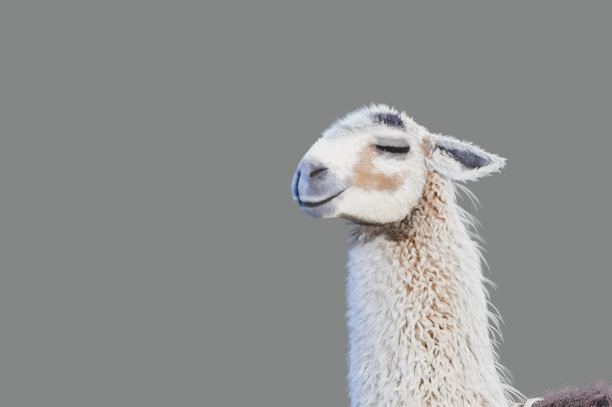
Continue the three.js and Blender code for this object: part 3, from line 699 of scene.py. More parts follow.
def regions_of(p):
    """The number of the form that each point lies on."""
    off = np.stack([np.abs(form.locate(p)[2]) for form in LOFTS.values()])
    found = off.argmin(0)
    for k, sign in enumerate(SIDES.values()):
        found[on_ear(p, sign)] = len(LOFTS) + k
    return found


# The map of the coat: a box for the roots on each form, their place along by their angle round.
CHARTS = {
    "head": (0.01, 0.55, 0.43, 0.43),
    "neck": (0.46, 0.55, 0.53, 0.43),
    "torso": (0.01, 0.02, 0.55, 0.5),
    "tail": (0.58, 0.42, 0.18, 0.1),
    "ear_left": (0.78, 0.42, 0.1, 0.1),
    "ear_right": (0.89, 0.42, 0.1, 0.1),
    "fore_left": (0.58, 0.02, 0.1, 0.38),
    "hind_left": (0.69, 0.02, 0.1, 0.38),
    "fore_right": (0.8, 0.02, 0.09, 0.38),
    "hind_right": (0.9, 0.02, 0.09, 0.38),
}


def chart(p, found):
    """Places on the map of points of the skin."""
    uv = np.zeros((len(p), 2))
    for k, name in enumerate(REGIONS):
        here = found == k
        if not here.any():
            continue
        left, low, wide, high = CHARTS[name]
        if name in LOFTS:
            at, angle, _ = LOFTS[name].locate(p[here])
            span = LOFTS[name].places
            u, v = angle / (2 * np.pi) + 0.5, (at - span.min()) / (span.max() - span.min())
        else:
            share, across, out = ear_places(p[here], SIDES[name.split("_")[1]])
            u, v = np.arctan2(out, across) / (2 * np.pi) + 0.5, share
        uv[here] = np.stack([left + wide * np.clip(u, 0, 1), low + high * np.clip(v, 0, 1)], -1)
    return uv


# ---- Markings ----
def spot(p, forward, height, reach, seed, wide=1.0):
    """A patch with a ragged edge on both sides of the head, 0 to 1."""
    ragged = 1 + 0.28 * ripple(p, 26, seed) + 0.16 * ripple(p, 9, seed + 1)
    distance = np.hypot((-p[:, 0] - forward) / wide, p[:, 2] - EYE_HEIGHT - height)
    return fall(distance, reach * 0.55 * ragged, reach * 1.15 * ragged)


def patched(tip, p, patches, within=1):
    """Lays patches over the colours of points."""
    for at, level, reach, wide, colour, share, seed in patches:
        tip = blend(tip, colour, share * within * spot(p, at, level, reach, seed, wide))
    return tip


def head_colours(p):
    """Colours of the head's hair at its tips and its roots, with painted sky light on the top and front
    and painted shade about the eyes, the mouth and under the jaw.
    """
    forward, height = from_eyes(p)
    tip = plain(WHITE, p)
    tip = blend(tip, CREAM, 0.35 * step(ripple(p, 40, 3), -0.2, 0.9) * step(-height, -20, 20))
    # painted shade: warm cream over the lower part of the head
    tip = blend(tip, CREAM, 0.6 * step(-height - 0.2 * forward, 78, 116))
    # painted sky light: bluish white over the top of the head
    tip = blend(tip, SKYLIT_WHITE, 0.8 * step(height + 0.35 * forward, 36, 84))
    tip = patched(tip, p, FACE_PATCHES)
    edge = np.interp(height, *MUZZLE_EDGE)
    muzzle = step(forward - edge + 9 * ripple(p, 24, 13) + 5 * ripple(p, 9, 14), -20, 26)
    tip = blend(tip, MUZZLE, 0.95 * muzzle)
    tip = patched(tip, p, MUZZLE_PATCHES)
    tip = patched(tip, p, CHIN_PATCHES, height < -108)
    # painted sky light: blue over the front of the nose
    tip = blend(tip, SKYLIGHT_BLUE, 0.35 * step(forward, 176, 190) * (1 - hump(p[:, 1], 12)))
    above = height - mouth_height(forward)
    in_mouth = step(forward, MOUTH[0][0] - 8, MOUTH[0][0] + 8)
    tip = blend(tip, MUZZLE, 0.55 * in_mouth * hump(above - 10, 16))
    # painted shade: dark just above the mouth line, under the overhanging upper lip
    tip = blend(tip, SLATE, 0.6 * step(forward, 110, 150) * hump(above - 3, 10))
    # painted highlight: a pale line along the lower edge of the upper lip
    tip = blend(tip, SKYLIT_WHITE, 0.35 * step(forward, 132, 160) * hump(above - 10, 4))
    tip = patched(tip, p, CROWN_PATCHES, step(height, 28, 42) * (height < 66))
    # under the jaw: brown wool with painted shadow from the jaw
    keel = height - head.section(forward)[2]
    under_jaw_brown_shade = fall(keel, 5, 15) * fall(forward, 100, 122) * step(forward, -60, -30)
    tip = blend(tip, BROWN_SHADE, 0.95 * under_jaw_brown_shade)
    upper, lower, _ = slit_edges(forward)
    beside = beside_slit(forward)
    over_eye = fall(beside, -8, 12)
    # painted shade: grey on the upper lid under the brow
    lid = over_eye * step(height - upper, -2, 1) * fall(height - upper, 16, 31)
    tip = blend(tip, SLATE, lid * (0.92 + 0.05 * step(-forward, -24, 20)))
    tip = blend(tip, DUSK, 0.95 * hump(np.hypot(forward - 51, height - 8), 7))
    # painted shade: grey under the lower lid
    below = over_eye * step(lower - height, -1, 2) * fall(lower - height, 12, 25)
    tip = blend(tip, SLATE, 0.88 * below)
    root = blend(tip, CREAM, 0.15)
    return tip, root * 0.94


def face_lines(p, tip):
    """Painted shade in the gaps of the face: dark in the slit between the lids, in the nostrils, along
    the mouth line and in the lip split.
    """
    forward, height = from_eyes(p)
    upper, lower, _ = slit_edges(forward)
    beside = beside_slit(forward)
    reach = fall(beside, -2, 8)
    outside = np.maximum(height - upper, lower - height)
    # painted shade: black in the slit between the lids
    tip = blend(tip, GAP_SHADOW_BLACK, reach * fall(outside, 0.5, 4.0))
    level, half = nostril_shape(forward)
    in_nose = step(forward, 134, 142) * fall(forward, 174, 182)
    # painted shade: dark round the nostril and black inside it
    tip = blend(tip, DUSK, in_nose * fall(np.abs(height - level), half, half + 5))
    tip = blend(tip, GAP_SHADOW_BLACK, in_nose * fall(np.abs(height - level), half * 0.6, half + 1))
    above = height - mouth_height(forward)
    in_mouth = step(forward, MOUTH[0][0] - 6, MOUTH[0][0] + 4)
    fat = 1.4 + 3.0 * step(forward, 112, 160)
    # painted shadow along the mouth line, under the overhanging upper lip
    tip = blend(tip, BROWN_SHADE, 0.6 * in_mouth * hump(above + 3, fat + 4))
    tip = blend(tip, GAP_SHADOW_BLACK, in_mouth * fall(np.abs(above + 0.5), fat, fat + 2.4))
    # painted shade in the split of the upper lip
    split = step(forward, 158, 172) * step(above, 0, 4) * fall(height, -56, -42)
    tip = blend(tip, SLATE, 0.9 * split * hump(p[:, 1], 9))
    return blend(tip, GAP_SHADOW_BLACK, 0.95 * split * hump(p[:, 1], 4.5))


def neck_colours(p):
    """White wool with tan roots, most on the sides of the upper neck. The front and nape carry painted
    sky light, and under the jaw is brown wool with painted shadow.
    """
    ahead = np.sin(neck.locate(p)[1])
    height = p[:, 2]
    rear = -0.4 - 0.35 * step(height, 1400, 1460)
    side = step(ahead, rear, rear + 0.35) * fall(ahead, 0.5, 0.8)
    warm = side * (0.3 + 0.7 * step(height, 1150, 1300)) * step(ripple(p, 90, 31), -1.0, 0.4)
    tip = blend(plain(WHITE, p), CREAM, 0.05 + 0.55 * warm)
    root = blend(plain(CREAM, p), GOLD, 0.15 + 0.85 * warm)
    # painted sky light: blue down the front of the neck
    sky_lit = 0.35 * step(ahead, 0.6, 0.95) + 0.35 * step(p[:, 1], -20, 30) * step(ahead, 0.5, 0.8)
    tip = blend(tip, SKYLIGHT_BLUE, sky_lit)
    # painted sky light: bluish white along the nape
    tip = blend(tip, SKYLIT_WHITE, 0.5 * step(-ahead, 0.3, 0.8))
    # a dark band under the jaw: brown wool with painted shadow from the jaw, darkest at the roots
    ragged = 10 * ripple(p, 30, 34) + 6 * ripple(p, 11, 35)
    throat_brown_shade = step(ahead, 0.15, 0.65) * step(height - 0.1 * p[:, 0] + ragged, 1402, 1432)
    tip = blend(tip, BROWN_SHADE, 0.985 * throat_brown_shade)
    below = step(ahead, -0.1, 0.4) * step(height + 2 * ragged, 1350, 1420) * fall(ahead, 0.75, 0.95)
    tip = blend(tip, TAN, 0.9 * below * step(height + ragged, 1395, 1425) * (1 - throat_brown_shade))
    tip = blend(tip, GOLD, 0.3 * below * (1 - throat_brown_shade))
    root = blend(root, RUST, 0.3 * below)
    # painted shade: roots darkened towards plum behind the cheek
    cheek = spot(p, -92, -62, 44, 33, 0.5)
    root = blend(root, PLUM, 0.15 * cheek)
    return tip, blend(root, DUSK, 0.85 * throat_brown_shade)


# Where the brown of the back starts: behind, above and below which places it fades in or out.
SADDLE_FRONT, SADDLE_LOW, SADDLE_HIGH = (286, 334), (470, 560), (1180, 1240)


def saddle(p):
    """How much of the brown of the back a place has, 0 to 1."""
    forward, height = -p[:, 0], p[:, 2]
    ragged = 36 * ripple(p, 240, 41) + 14 * ripple(p, 60, 42) + 8 * ripple(p, 18, 44)
    behind = step(-forward + 0.3 * np.minimum(height - 1000, 60) + ragged, *SADDLE_FRONT)
    above = step(height + 1.2 * ragged + 0.12 * forward, *SADDLE_LOW)
    return behind * above * fall(height, *SADDLE_HIGH)


def body_colours(p):
    brown = saddle(p)
    # paler tips in patches, more of them higher up the body
    paler_patches = 0.5 + 0.5 * ripple(p, 120, 43)
    dark_tip = blend(plain(BODY_TIP, p), BODY_PALE_TIP, paler_patches * step(p[:, 2], 800, 1100))
    pale = blend(plain(WHITE, p), CREAM, 0.12 + 0.1 * ripple(p, 90, 47))
    # painted sky light: blue over the front of the chest
    pale = blend(pale, SKYLIGHT_BLUE, 0.3 * step(-p[:, 0], -50, 30))
    tip = blend(pale, dark_tip, brown)
    root = blend(plain(CREAM, p) * 0.85, BODY_ROOT, brown)
    return tip, root


def leg_colours(p):
    tip, root = body_colours(p)
    worn = 0.3 + 0.3 * ripple(p, 60, 45) + 0.25 * hump(p[:, 2] - 390, 60)
    worn = np.clip(worn, 0, 0.8) * (1 - saddle(p))
    dusty = step(-p[:, 2] + 12 * ripple(p, 20, 46), -130, -10)
    tip = blend(blend(tip, CREAM * 0.75, worn), PLUM * 1.6, 0.75 * dusty)
    low = fall(p[:, 2], 480, 560)
    return tip, blend(root, tip * 0.92, low)


def ear_colours(p, sign):
    """White rims and a grey back, their white painted bluish as sky light; inside the cup grey with a
    dark furrow, partly the ear's own colour and partly painted shade in the hollow.
    """
    share, across, out = ear_places(p, sign)
    level = across / np.maximum(ear_half(share), 6)
    # painted sky light: the ear's white is a bluish, sky-lit white
    grey = blend(plain(SKYLIT_WHITE, p), MUZZLE, 0.4 + 0.3 * ripple(p, 22, 51))
    tip = blend(grey, SKYLIT_WHITE, 0.85 * step(np.abs(level), 0.62, 0.95))
    radius = ear_radius(share)
    # inside the cup: greyer, and dark in the furrow, partly the ear's own colour and partly painted
    # shade in the hollow
    inner = fall(np.hypot(across, out - EAR_SEAT * radius) - radius, -1.5, 0.5)
    inner = inner * fall(share, 0.72, 0.9)
    tip = blend(tip, MUZZLE, 0.85 * inner * step(level, -0.5, -0.1) * fall(level, 0.6, 0.98))
    tip = blend(tip, SLATE, 0.6 * inner * step(level, -0.4, 0.0) * step(ripple(p, 14, 52), -0.4, 0.6))
    furrow = inner * hump(across - ear_furrow(share), 14) * step(share, 0.05, 0.2)
    tip = blend(tip, DUSK, 0.98 * furrow)
    tip = blend(tip, TAN, 0.6 * fall(share, 0.02, 0.14) * (1 - inner))
    return tip, tip * 0.75


def markings(p, found):
    """Tip and root colours of the coat over all the skin."""
    tip, root = np.zeros((len(p), 3)), np.zeros((len(p), 3))
    for k, name in enumerate(REGIONS):
        here = found == k
        if name == "head":
            tip[here], root[here] = head_colours(p[here])
        elif name == "neck":
            tip[here], root[here] = neck_colours(p[here])
            back_tip, back_root = body_colours(p[here])
            brown = saddle(p[here])
            tip[here] = blend(tip[here], back_tip, brown)
            root[here] = blend(root[here], back_root, brown)
        elif name in ("torso", "tail"):
            tip[here], root[here] = body_colours(p[here])
        elif name.startswith("ear"):
            tip[here], root[here] = ear_colours(p[here], SIDES[name.split("_")[1]])
        else:
            tip[here], root[here] = leg_colours(p[here])
    return tip, root


def paint(mesh, colours):
    """Stores a colour for each vertex, which the materials read."""
    layer = mesh.color_attributes.new("coat", "FLOAT_COLOR", "POINT")
    layer.data.foreach_set("color", np.c_[colours, np.ones(len(colours))].astype(np.float32).ravel())


def numbers(collection, field, width=3, kind=np.float32):
    values = np.zeros(len(collection) * width, kind)
    collection.foreach_get(field, values)
    return values.reshape(-1, width) if width > 1 else values


skin_points = (numbers(skin.data.vertices, "co") - ORIGIN) / MM
skin_normals = numbers(skin.data.vertices, "normal")
skin_regions = regions_of(skin_points)
tip_paint, root_paint = markings(skin_points, skin_regions)
# Painted shade: the skin under wool is the roots' colour darkened by FLOOR_SHADE, as shade deep in the
# fleece, with some of the tips' colour where it isn't brown.
FLOOR_SHADE, FLOOR_TIPS, WOOL_FOOT = 0.72, 0.35, 600
woolly = among(skin_regions, ["neck", "torso", "tail"])
woolly |= among(skin_regions, LEGS) & (skin_points[:, 2] > WOOL_FOOT)
wool_floor = FLOOR_SHADE * blend(root_paint, tip_paint, FLOOR_TIPS * (1 - saddle(skin_points)))
skin_paint = np.where(woolly[:, None], wool_floor, tip_paint)
on_head = among(skin_regions, ["head"])
skin_paint[on_head] = face_lines(skin_points[on_head], skin_paint[on_head])
paint(skin.data, skin_paint)


# ---- Coat ----
# Triangles are taken in the order of their places, so that the coat comes out the same each time.
SORTING_WAY = np.array([1.0, 0.618, 0.271])
triangles = numbers(skin.data.polygons, "vertices", 3, np.int32)
triangles = np.take_along_axis(triangles, np.argsort(skin_points[triangles] @ SORTING_WAY, axis=1), 1)
corners = skin_points[triangles]
edges = corners[:, 1:] - corners[:, :1]
areas = np.linalg.norm(np.cross(edges[:, 0], edges[:, 1]), axis=1) / 2
middles = corners.mean(1)
middle_regions = regions_of(middles)


# Places tried for each lock, and how near they may lie for an even spread.
TRIES, SPACING = 4, 0.7


def sown(names, count, weight, draw):
    """Roots spread evenly over the named forms, with their normals. weight(p, n) thins them out."""
    here = np.flatnonzero(among(middle_regions, names))
    here = here[np.argsort(middles[here] @ SORTING_WAY)]
    facing = unit(skin_normals[triangles[here]].mean(1))
    share = np.maximum(weight(middles[here], facing), 0)
    chance = areas[here] * share
    tried = TRIES * count
    picked = draw.choice(len(here), tried, p=chance / chance.sum())
    apart = SPACING * np.sqrt(chance.sum() / count / share[picked])
    a, b = np.sqrt(draw.random(tried)), draw.random(tried)
    shares = np.stack([1 - a, a * (1 - b), a * b], -1)[:, :, None]
    root = (corners[here[picked]] * shares).sum(1)
    normal = unit((skin_normals[triangles[here[picked]]] * shares).sum(1))
    tree = KDTree(tried)
    for k, point in enumerate(root):
        tree.insert(point, k)
    tree.balance()
    free, kept = np.ones(tried, bool), []
    for k in range(tried):
        if free[k]:
            kept.append(k)
            free[[near[1] for near in tree.find_range(root[k], apart[k])]] = False
    kept = kept[:count]
    return root[kept], normal[kept]


def along_skin(way, normal):
    return unit(way - normal * (way * normal).sum(-1, keepdims=True))


def twisted(way, normal, angle):
    """A way turned about the normal."""
    return way * np.cos(angle)[:, None] + np.cross(normal, way) * np.sin(angle)[:, None]


# How high the turns of a curl are for their width, and the size of a hair on the map.
FLAT_TURN = 0.7
HAIR_PATCH = 0.003


def courses(root, normal, way, style, share):
    """The points of each hair's course from root to tip."""
    t = np.linspace(0, 1, style["rings"] + 1) * share[:, None]
    length, across = style["length"][:, None], np.cross(way, normal)
    bend = root + way * length * 0.35 + normal * style["rise"][:, None]
    tip = root + way * length + normal * style["stand"][:, None]
    start = root - normal * style["sunk"]
    s = t[:, :, None]
    line = start[:, None] * (1 - s) ** 2 + 2 * bend[:, None] * s * (1 - s) + tip[:, None] * s**2
    turns = 2 * np.pi * style["waves"][:, None] * t + style["phase"][:, None]
    swing = (style["wave"][:, None] * np.minimum(3 * t, 1))[:, :, None]
    sway = np.sin(turns)[:, :, None] * across[:, None]
    lift = FLAT_TURN * np.cos(turns)[:, :, None] * normal[:, None]
    return line + swing * (sway + lift)


def hair_mesh(name, line, normal, width, tip_colour, root_colour, tone, uv, flat):
    """A mesh of closed three-sided tapering hairs along their courses."""
    hairs, rings = line.shape[0], line.shape[1] - 1
    run = np.gradient(line, axis=1)
    across = unit(np.cross(run, normal[:, None]))
    up = unit(np.cross(across, run))
    t = np.linspace(0, 1, rings + 1)[:rings]
    radius = 0.5 * width[:, None] * (1 - t**2.2)[None] * np.where(t == 0, 0.8, 1)[None]
    turn = np.radians([90, 210, 330])
    side = np.cos(turn)[None, None, :, None] * across[:, :rings, None]
    lift = np.sin(turn)[None, None, :, None] * up[:, :rings, None] * flat
    tube = line[:, :rings, None] + radius[:, :, None, None] * (side + lift)
    points = np.concatenate([tube.reshape(hairs, -1, 3), line[:, -1:]], 1)
    points[:, :, 2] = np.maximum(points[:, :, 2], HAIR_CLEAR)
    each = rings * 3 + 1
    ring, k = np.meshgrid(np.arange(rings - 1), np.arange(3), indexing="ij")
    low, high, after = ring * 3, ring * 3 + 3, (k + 1) % 3
    quads = np.stack([low + k, low + after, high + after, high + k], -1).reshape(-1, 4)
    last = (rings - 1) * 3
    ends = [[last + j, last + (j + 1) % 3, each - 1] for j in range(3)] + [[2, 1, 0]]
    sizes = np.r_[np.full(len(quads), 4), np.full(4, 3)]
    loops = np.r_[quads.ravel(), np.ravel(ends)]
    all_loops = (loops[None] + each * np.arange(hairs)[:, None]).ravel()
    all_sizes = np.tile(sizes, hairs)
    mesh = bpy.data.meshes.new(name)
    mesh.vertices.add(hairs * each)
    mesh.vertices.foreach_set("co", (points * MM + ORIGIN).astype(np.float32).ravel())
    mesh.loops.add(len(all_loops))
    mesh.loops.foreach_set("vertex_index", all_loops.astype(np.int32))
    mesh.polygons.add(len(all_sizes))
    mesh.polygons.foreach_set("loop_start", (np.cumsum(all_sizes) - all_sizes).astype(np.int32))
    mesh.update(calc_edges=True)
    mesh.shade_smooth()
    along = np.append(np.repeat(t, 3), 1.0)
    shade = step(along[None] / tone[:, None], 0.0, 1.0)[:, :, None]
    colours = root_colour[:, None] + (tip_colour - root_colour)[:, None] * shade
    paint(mesh, colours.reshape(-1, 3))
    beside = np.append(np.tile([0, 0.5, 1], rings), 0.5)
    own = np.stack([along, beside], -1) * HAIR_PATCH
    spread = (uv[:, None] + own[None]).reshape(-1, 2)
    layer = mesh.uv_layers.new(name="OFBake")
    layer.data.foreach_set("uv", spread[all_loops].astype(np.float32).ravel())
    obj = bpy.data.objects.new(name, mesh)
    bpy.context.scene.collection.objects.link(obj)
    return obj


# What a style gives for its locks:
# length, rise, stand: how far the hairs reach, how high they arch and how high their tips stand
# wave, waves: the size and the number of their waves
# width, lock: the width of a hair, and the radius of a lock at its root
# clump, frizz: how far the hairs gather towards the tip, and how wild their tips are
# tone: where along a hair the colour of the tip is reached
# fleck: how much white some locks get
# scatter: how far locks turn away from the lie
# rings, sunk: the rings of a hair, and how deep its root lies in the skin
COAT = []


def coat(name, names, weight, lie, style_of, locks, each, seed, pieces=1, flat=0.6):
    """Sows locks over the named forms, each of so many hairs, and makes them pieces of the coat."""
    draw = np.random.default_rng(seed)
    root, normal = sown(names, locks, weight, draw)
    locks = len(root)
    style = style_of(root, normal, draw)
    way = along_skin(lie(root, normal), normal)
    way = twisted(way, normal, draw.normal(0, style["scatter"], locks))
    size = draw.uniform(0.75, 1.2, locks)
    found = regions_of(root)
    tip_colour, root_colour = markings(root, found)
    tip_colour = blend(tip_colour, WHITE, style.pop("fleck", 0) * draw.random(locks))
    shade = draw.normal(1, 0.06, (locks, 1))
    fields = {k: np.broadcast_to(v, locks) for k, v in style.items() if k not in ("rings", "sunk")}
    fields["length"] = fields["length"] * size
    fields["phase"] = draw.uniform(0, 2 * np.pi, locks)
    uv = chart(root, found)
    rows = np.repeat(np.arange(locks), each)
    fields = {k: v[rows] for k, v in fields.items()}
    fields.update(rings=style["rings"], sunk=style["sunk"])
    fields["phase"] = fields["phase"] + draw.normal(0, 0.3, len(rows))
    share = draw.uniform(0.75, 1.0, len(rows))
    root, normal, way = root[rows], normal[rows], way[rows]
    line = courses(root, normal, way, fields, share)
    spread = draw.uniform(0, 1, len(rows)) ** 0.5 * fields["lock"]
    turn = draw.uniform(0, 2 * np.pi, len(rows))
    across = np.cross(way, normal)
    offset = spread[:, None] * (np.cos(turn)[:, None] * across + np.sin(turn)[:, None] * way)
    t = np.linspace(0, 1, style["rings"] + 1)[None, :, None]
    frizz = draw.normal(0, 1, (len(rows), 1, 3)) * fields["frizz"][:, None, None]
    line = line + offset[:, None] * (1 - fields["clump"][:, None, None] * t) + frizz * t**1.5
    glow = shade[rows] * draw.normal(1, 0.05, (len(rows), 1))
    for k, some in enumerate(np.array_split(np.arange(len(rows)), pieces)):
        obj = hair_mesh(
            f"{name}_{k + 1}" if pieces > 1 else name,
            line[some],
            normal[some],
            fields["width"][some],
            np.clip(tip_colour[rows[some]] * glow[some], 0, 1),
            np.clip(root_colour[rows[some]] * glow[some], 0, 1),
            fields["tone"][some],
            uv[rows[some]],
            flat,
        )
        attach(obj, "root")
        COAT.append(obj)


def face_free(p, margin):
    """0 on the lids' edges, in the nostrils, between the lips and in the lip split, and 1 elsewhere."""
    forward, height = from_eyes(p)
    upper, lower, along = slit_edges(forward)
    eye = (along < 1) & (height < upper + margin) & (height > lower - margin)
    level, half = nostril_shape(forward)
    nose = (forward > 136) & (forward < 179) & (np.abs(height - level) < half + margin)
    above = height - mouth_height(forward)
    lips = (forward > MOUTH[0][0] - 2) & (np.abs(above) < 3.5 + margin)
    split = (forward > 165) & (np.abs(p[:, 1]) < 2.5 + margin) & (height < -45) & (above > 0)
    return 1.0 - (eye | nose | lips | split)


def crown_of(p):
    """How much a place belongs to the fuzzy forehead, crown and poll."""
    forward, height = from_eyes(p)
    line = np.interp(forward, [-100, -60, 0, 60, 110, 150], [10, 34, 50, 42, 26, 8])
    return step(height, line - 14, line + 8) * fall(forward, 96, 168)


def head_lie(p, normal):
    """Hair runs back from the nose, down over the cheeks, and forward and up on the crown."""
    forward, height = from_eyes(p)
    down = 0.15 + 0.5 * step(-height, 10, 90) + 0.8 * step(-forward, 0, 70)
    back = 1 - 1.5 * crown_of(p)
    way = np.stack([back, 0.3 * np.sign(p[:, 1]) * step(height, 20, 60), -down], -1)
    return way + 0.3 * np.stack([ripple(p, 70, s) for s in (61, 62, 63)], -1)


def uneven(p, draw):
    """A random amount for each lock, mostly small, either way."""
    return draw.normal(0, 1, len(p)).clip(-1.5, 1.5)


def head_style(p, normal, draw):
    forward, height = from_eyes(p)
    crown = crown_of(p)
    rear = step(-forward, 10, 66) * (1 - crown)
    under = step(-height - 0.2 * forward, 112, 142) * fall(forward, 90, 130)
    muzzle = step(forward, 96, 140)
    nose = crown * step(forward, 46, 140)
    poll = crown * step(-forward, 0, 60)
    lids = hump(np.hypot((forward - SLIT_MIDDLE) * 0.6, height - 8), 24)
    loose = draw.exponential(1, len(p)).clip(0, 3) * (0.2 + 6 * crown - 3 * poll)
    return dict(
        length=11 + 15 * rear + 9 * crown + 5 * under - 5.5 * muzzle - 5 * nose - 5 * lids,
        rise=1.0 + 7 * rear + 10 * crown + 2 * under - 0.4 * muzzle - 5 * nose - 6 * poll,
        stand=0.5 + 8 * rear + 15 * crown + 3 * under - 0.2 * muzzle - 9 * nose - 10 * poll + loose,
        wave=0.35 + 0.9 * crown + 0.8 * rear, waves=0.8,
        width=1.8 - 0.6 * muzzle - 0.1 * crown + 0.3 * rear, lock=2.2 + 0.8 * crown + 1.2 * rear,
        clump=0.5 + 0.3 * rear + 0.48 * crown, frizz=0.3 + 0.5 * crown + 0.4 * rear, tone=0.6,
        fleck=0.05, scatter=0.24, rings=2, sunk=1.0,
    )


def face_weight(p, normal):
    forward = -p[:, 0]
    wanted = 1 + 0.7 * crown_of(p) + 0.5 * step(forward, 100, 140) - 0.35 * step(-forward, 30, 70)
    return face_free(p, 1.0) * wanted


def neck_lie(p, normal):
    """Wool hangs down the neck, and sweeps back at the nape."""
    way = np.tile([0.0, 0.0, -1.0], (len(p), 1))
    way[:, 0] = 0.4 * step(normal[:, 0], 0.2, 0.9) + 0.12
    return way + 0.35 * np.stack([ripple(p, 80, s) for s in (64, 65, 66)], -1)


def neck_style(p, normal, draw):
    """Short crescent curls on the sides, straight fuzz in front and long smooth hair at the nape."""
    _, angle, _ = neck.locate(p)
    top, high = step(p[:, 2], 1430, 1530), step(p[:, 2], 1230, 1360)
    front, nape = step(np.sin(angle), 0.45, 0.85), step(-np.sin(angle) - 0.3 * top, 0.02, 0.45)
    curly = (1 - front) * (1 - nape)
    loose = uneven(p, draw)
    return dict(
        length=40 + 24 * nape - 20 * front - 14 * high * curly - 4 * top,
        rise=40 + 4 * nape - 20 * front - 12 * top,
        stand=18 + 8 * nape + 16 * front - 6 * top + 4 * loose, wave=1.0 + 2.6 * curly,
        waves=0.7 + 0.5 * curly, width=2.1 - 0.7 * front - 0.6 * nape, lock=4.6 + 1.5 * front,
        clump=0.7 - 0.4 * front, frizz=1.0 + 1.8 * front + 1.8 * nape,
        tone=0.82 - 0.37 * nape - 0.37 * front, scatter=0.35, rings=4, sunk=3,
    )


# Heights between which each kind of wool or hair thins out.
NECK_WOOL_FOOT, CHEST_WOOL_TOP, WISP_FOOT = (1070, 1170), (1150, 1250), (1040, 1120)
LEG_WOOL_FOOT, LEG_WOOL_TOP, LEG_HAIR_TOP = (390, 560), (620, 720), (480, 600)
THIGH_FLEECE_FOOT = (600, 700)


def neck_weight(p, normal):
    return step(p[:, 2], *NECK_WOOL_FOOT) * (1 + 0.8 * step(p[:, 2], 1430, 1500))


def chest_style(p, normal, draw):
    """Longer wavy locks at the foot of the neck."""
    _, angle, _ = neck.locate(p)
    front, nape = step(np.sin(angle), 0.45, 0.9), step(-np.sin(angle), 0.45, 0.85)
    low = fall(p[:, 2], 1000, 1200)
    loose = uneven(p, draw)
    return dict(
        length=52 + 22 * low + 10 * nape, rise=38 - 16 * low,
        stand=20 + 8 * nape - 12 * low + 4 * loose, wave=3.4 - 1.4 * nape, waves=1.8 - 0.4 * nape,
        width=3.2 - 0.8 * nape - 0.5 * front, lock=7.5, clump=0.75, frizz=2.2 + 1.0 * front,
        tone=0.7 - 0.1 * nape, scatter=0.3, rings=7, sunk=3,
    )


def chest_weight(p, normal):
    return fall(p[:, 2], *CHEST_WOOL_TOP)


def wisp_style(p, normal, draw):
    """Long stray hairs that stick out behind the neck."""
    loose = draw.random(len(p))
    low = fall(p[:, 2], 1150, 1380)
    return dict(
        length=70 + 40 * loose, rise=56 + 16 * loose,
        stand=44 + (26 + 34 * low) * loose * draw.random(len(p)), wave=2.0, waves=0.8, width=1.4,
        lock=2.4, clump=0.5, frizz=8.0, tone=0.4, scatter=0.5, rings=7, sunk=3,
    )


def wisp_weight(p, normal):
    return step(normal[:, 0], 0.55, 0.85) * step(p[:, 2], *WISP_FOOT) * (p[:, 2] < 1580)


def wisp_lie(p, normal):
    return np.tile([0.35, 0.0, -1.0], (len(p), 1))


def body_lie(p, normal):
    """Fleece runs back and down over the body."""
    back = fall(-p[:, 0], -260, -60)
    way = np.stack([back, 0.4 * normal[:, 1], np.full(len(p), -0.9)], -1)
    return way + 0.45 * np.stack([ripple(p, 130, s) for s in (67, 68, 69)], -1)


def on_legs(p):
    return among(regions_of(p), LEGS)


def body_style(p, normal, draw):
    """Crinkled locks, shorter under the belly, on the thighs and on the brisket."""
    belly = fall(p[:, 2], 600, 700)
    thigh = on_legs(p) * (1.0 - 0.4 * step(p[:, 2], 700, 860))
    brisket = 1.1 * step(-p[:, 0], -170, -40)
    short = np.maximum(np.maximum(belly, thigh), brisket)
    return dict(
        length=76 - 26 * short, rise=62 - 28 * short, stand=38 - 18 * short + 6 * uneven(p, draw),
        wave=4.5 - 1.0 * short, waves=2.0 - 0.4 * short, width=4.0 - 0.6 * short,
        lock=11.0 - 3 * short, clump=0.72, frizz=4.5 - 1.5 * short, tone=0.85, scatter=0.4,
        rings=5, sunk=5,
    )


def body_weight(p, normal):
    thigh = 1.3 * step(p[:, 2], *THIGH_FLEECE_FOOT)
    return np.where(on_legs(p), thigh, 1 + 1.2 * step(-p[:, 0], -150, -40))


def tail_style(p, normal, draw):
    style = body_style(p, normal, draw)
    style.update(length=70, rise=22, stand=8, lock=7, width=3.2)
    return style


def leg_wool_style(p, normal, draw):
    return dict(
        length=46, rise=30, stand=14 + 4 * uneven(p, draw), wave=2.5, waves=1.3, width=3.4,
        lock=7.0, clump=0.75, frizz=2.5, tone=0.7, scatter=0.25, rings=4, sunk=3,
    )


def leg_wool_weight(p, normal):
    return step(p[:, 2], *LEG_WOOL_FOOT) * fall(p[:, 2], *LEG_WOOL_TOP)


def leg_hair_style(p, normal, draw):
    high = step(p[:, 2], 300, 470)
    toe = fall(p[:, 2], 40, 80)
    return dict(
        length=15 + 9 * high - 4 * toe, rise=1.8 + 6 * high,
        stand=0.8 + 3.4 * high + draw.exponential(0.6, len(p)).clip(0, 2), wave=0.5 + 0.7 * high,
        waves=0.8, width=2.2 + 0.6 * high - 0.5 * toe, lock=3.5, clump=0.6, frizz=0.7, tone=0.6,
        scatter=0.2, rings=2, sunk=1.5,
    )


def leg_hair_weight(p, normal):
    return fall(p[:, 2], *LEG_HAIR_TOP) * (p[:, 2] > SOLE_FREE)


def ear_sides(p, normal):
    """Sign, share along, level across from -1 to 1, and how far a place faces into the cup."""
    sign = np.sign(p[:, 1])
    found = [ear_places(p, s) for s in (-1, 1)]
    share = np.where(sign < 0, found[0][0], found[1][0])
    across = np.where(sign < 0, found[0][1], found[1][1])
    facing = np.where(sign < 0, normal @ ear_frame(-1)[2], normal @ ear_frame(1)[2])
    return sign, share, across / np.maximum(ear_half(share), 6), step(facing, -0.1, 0.5)


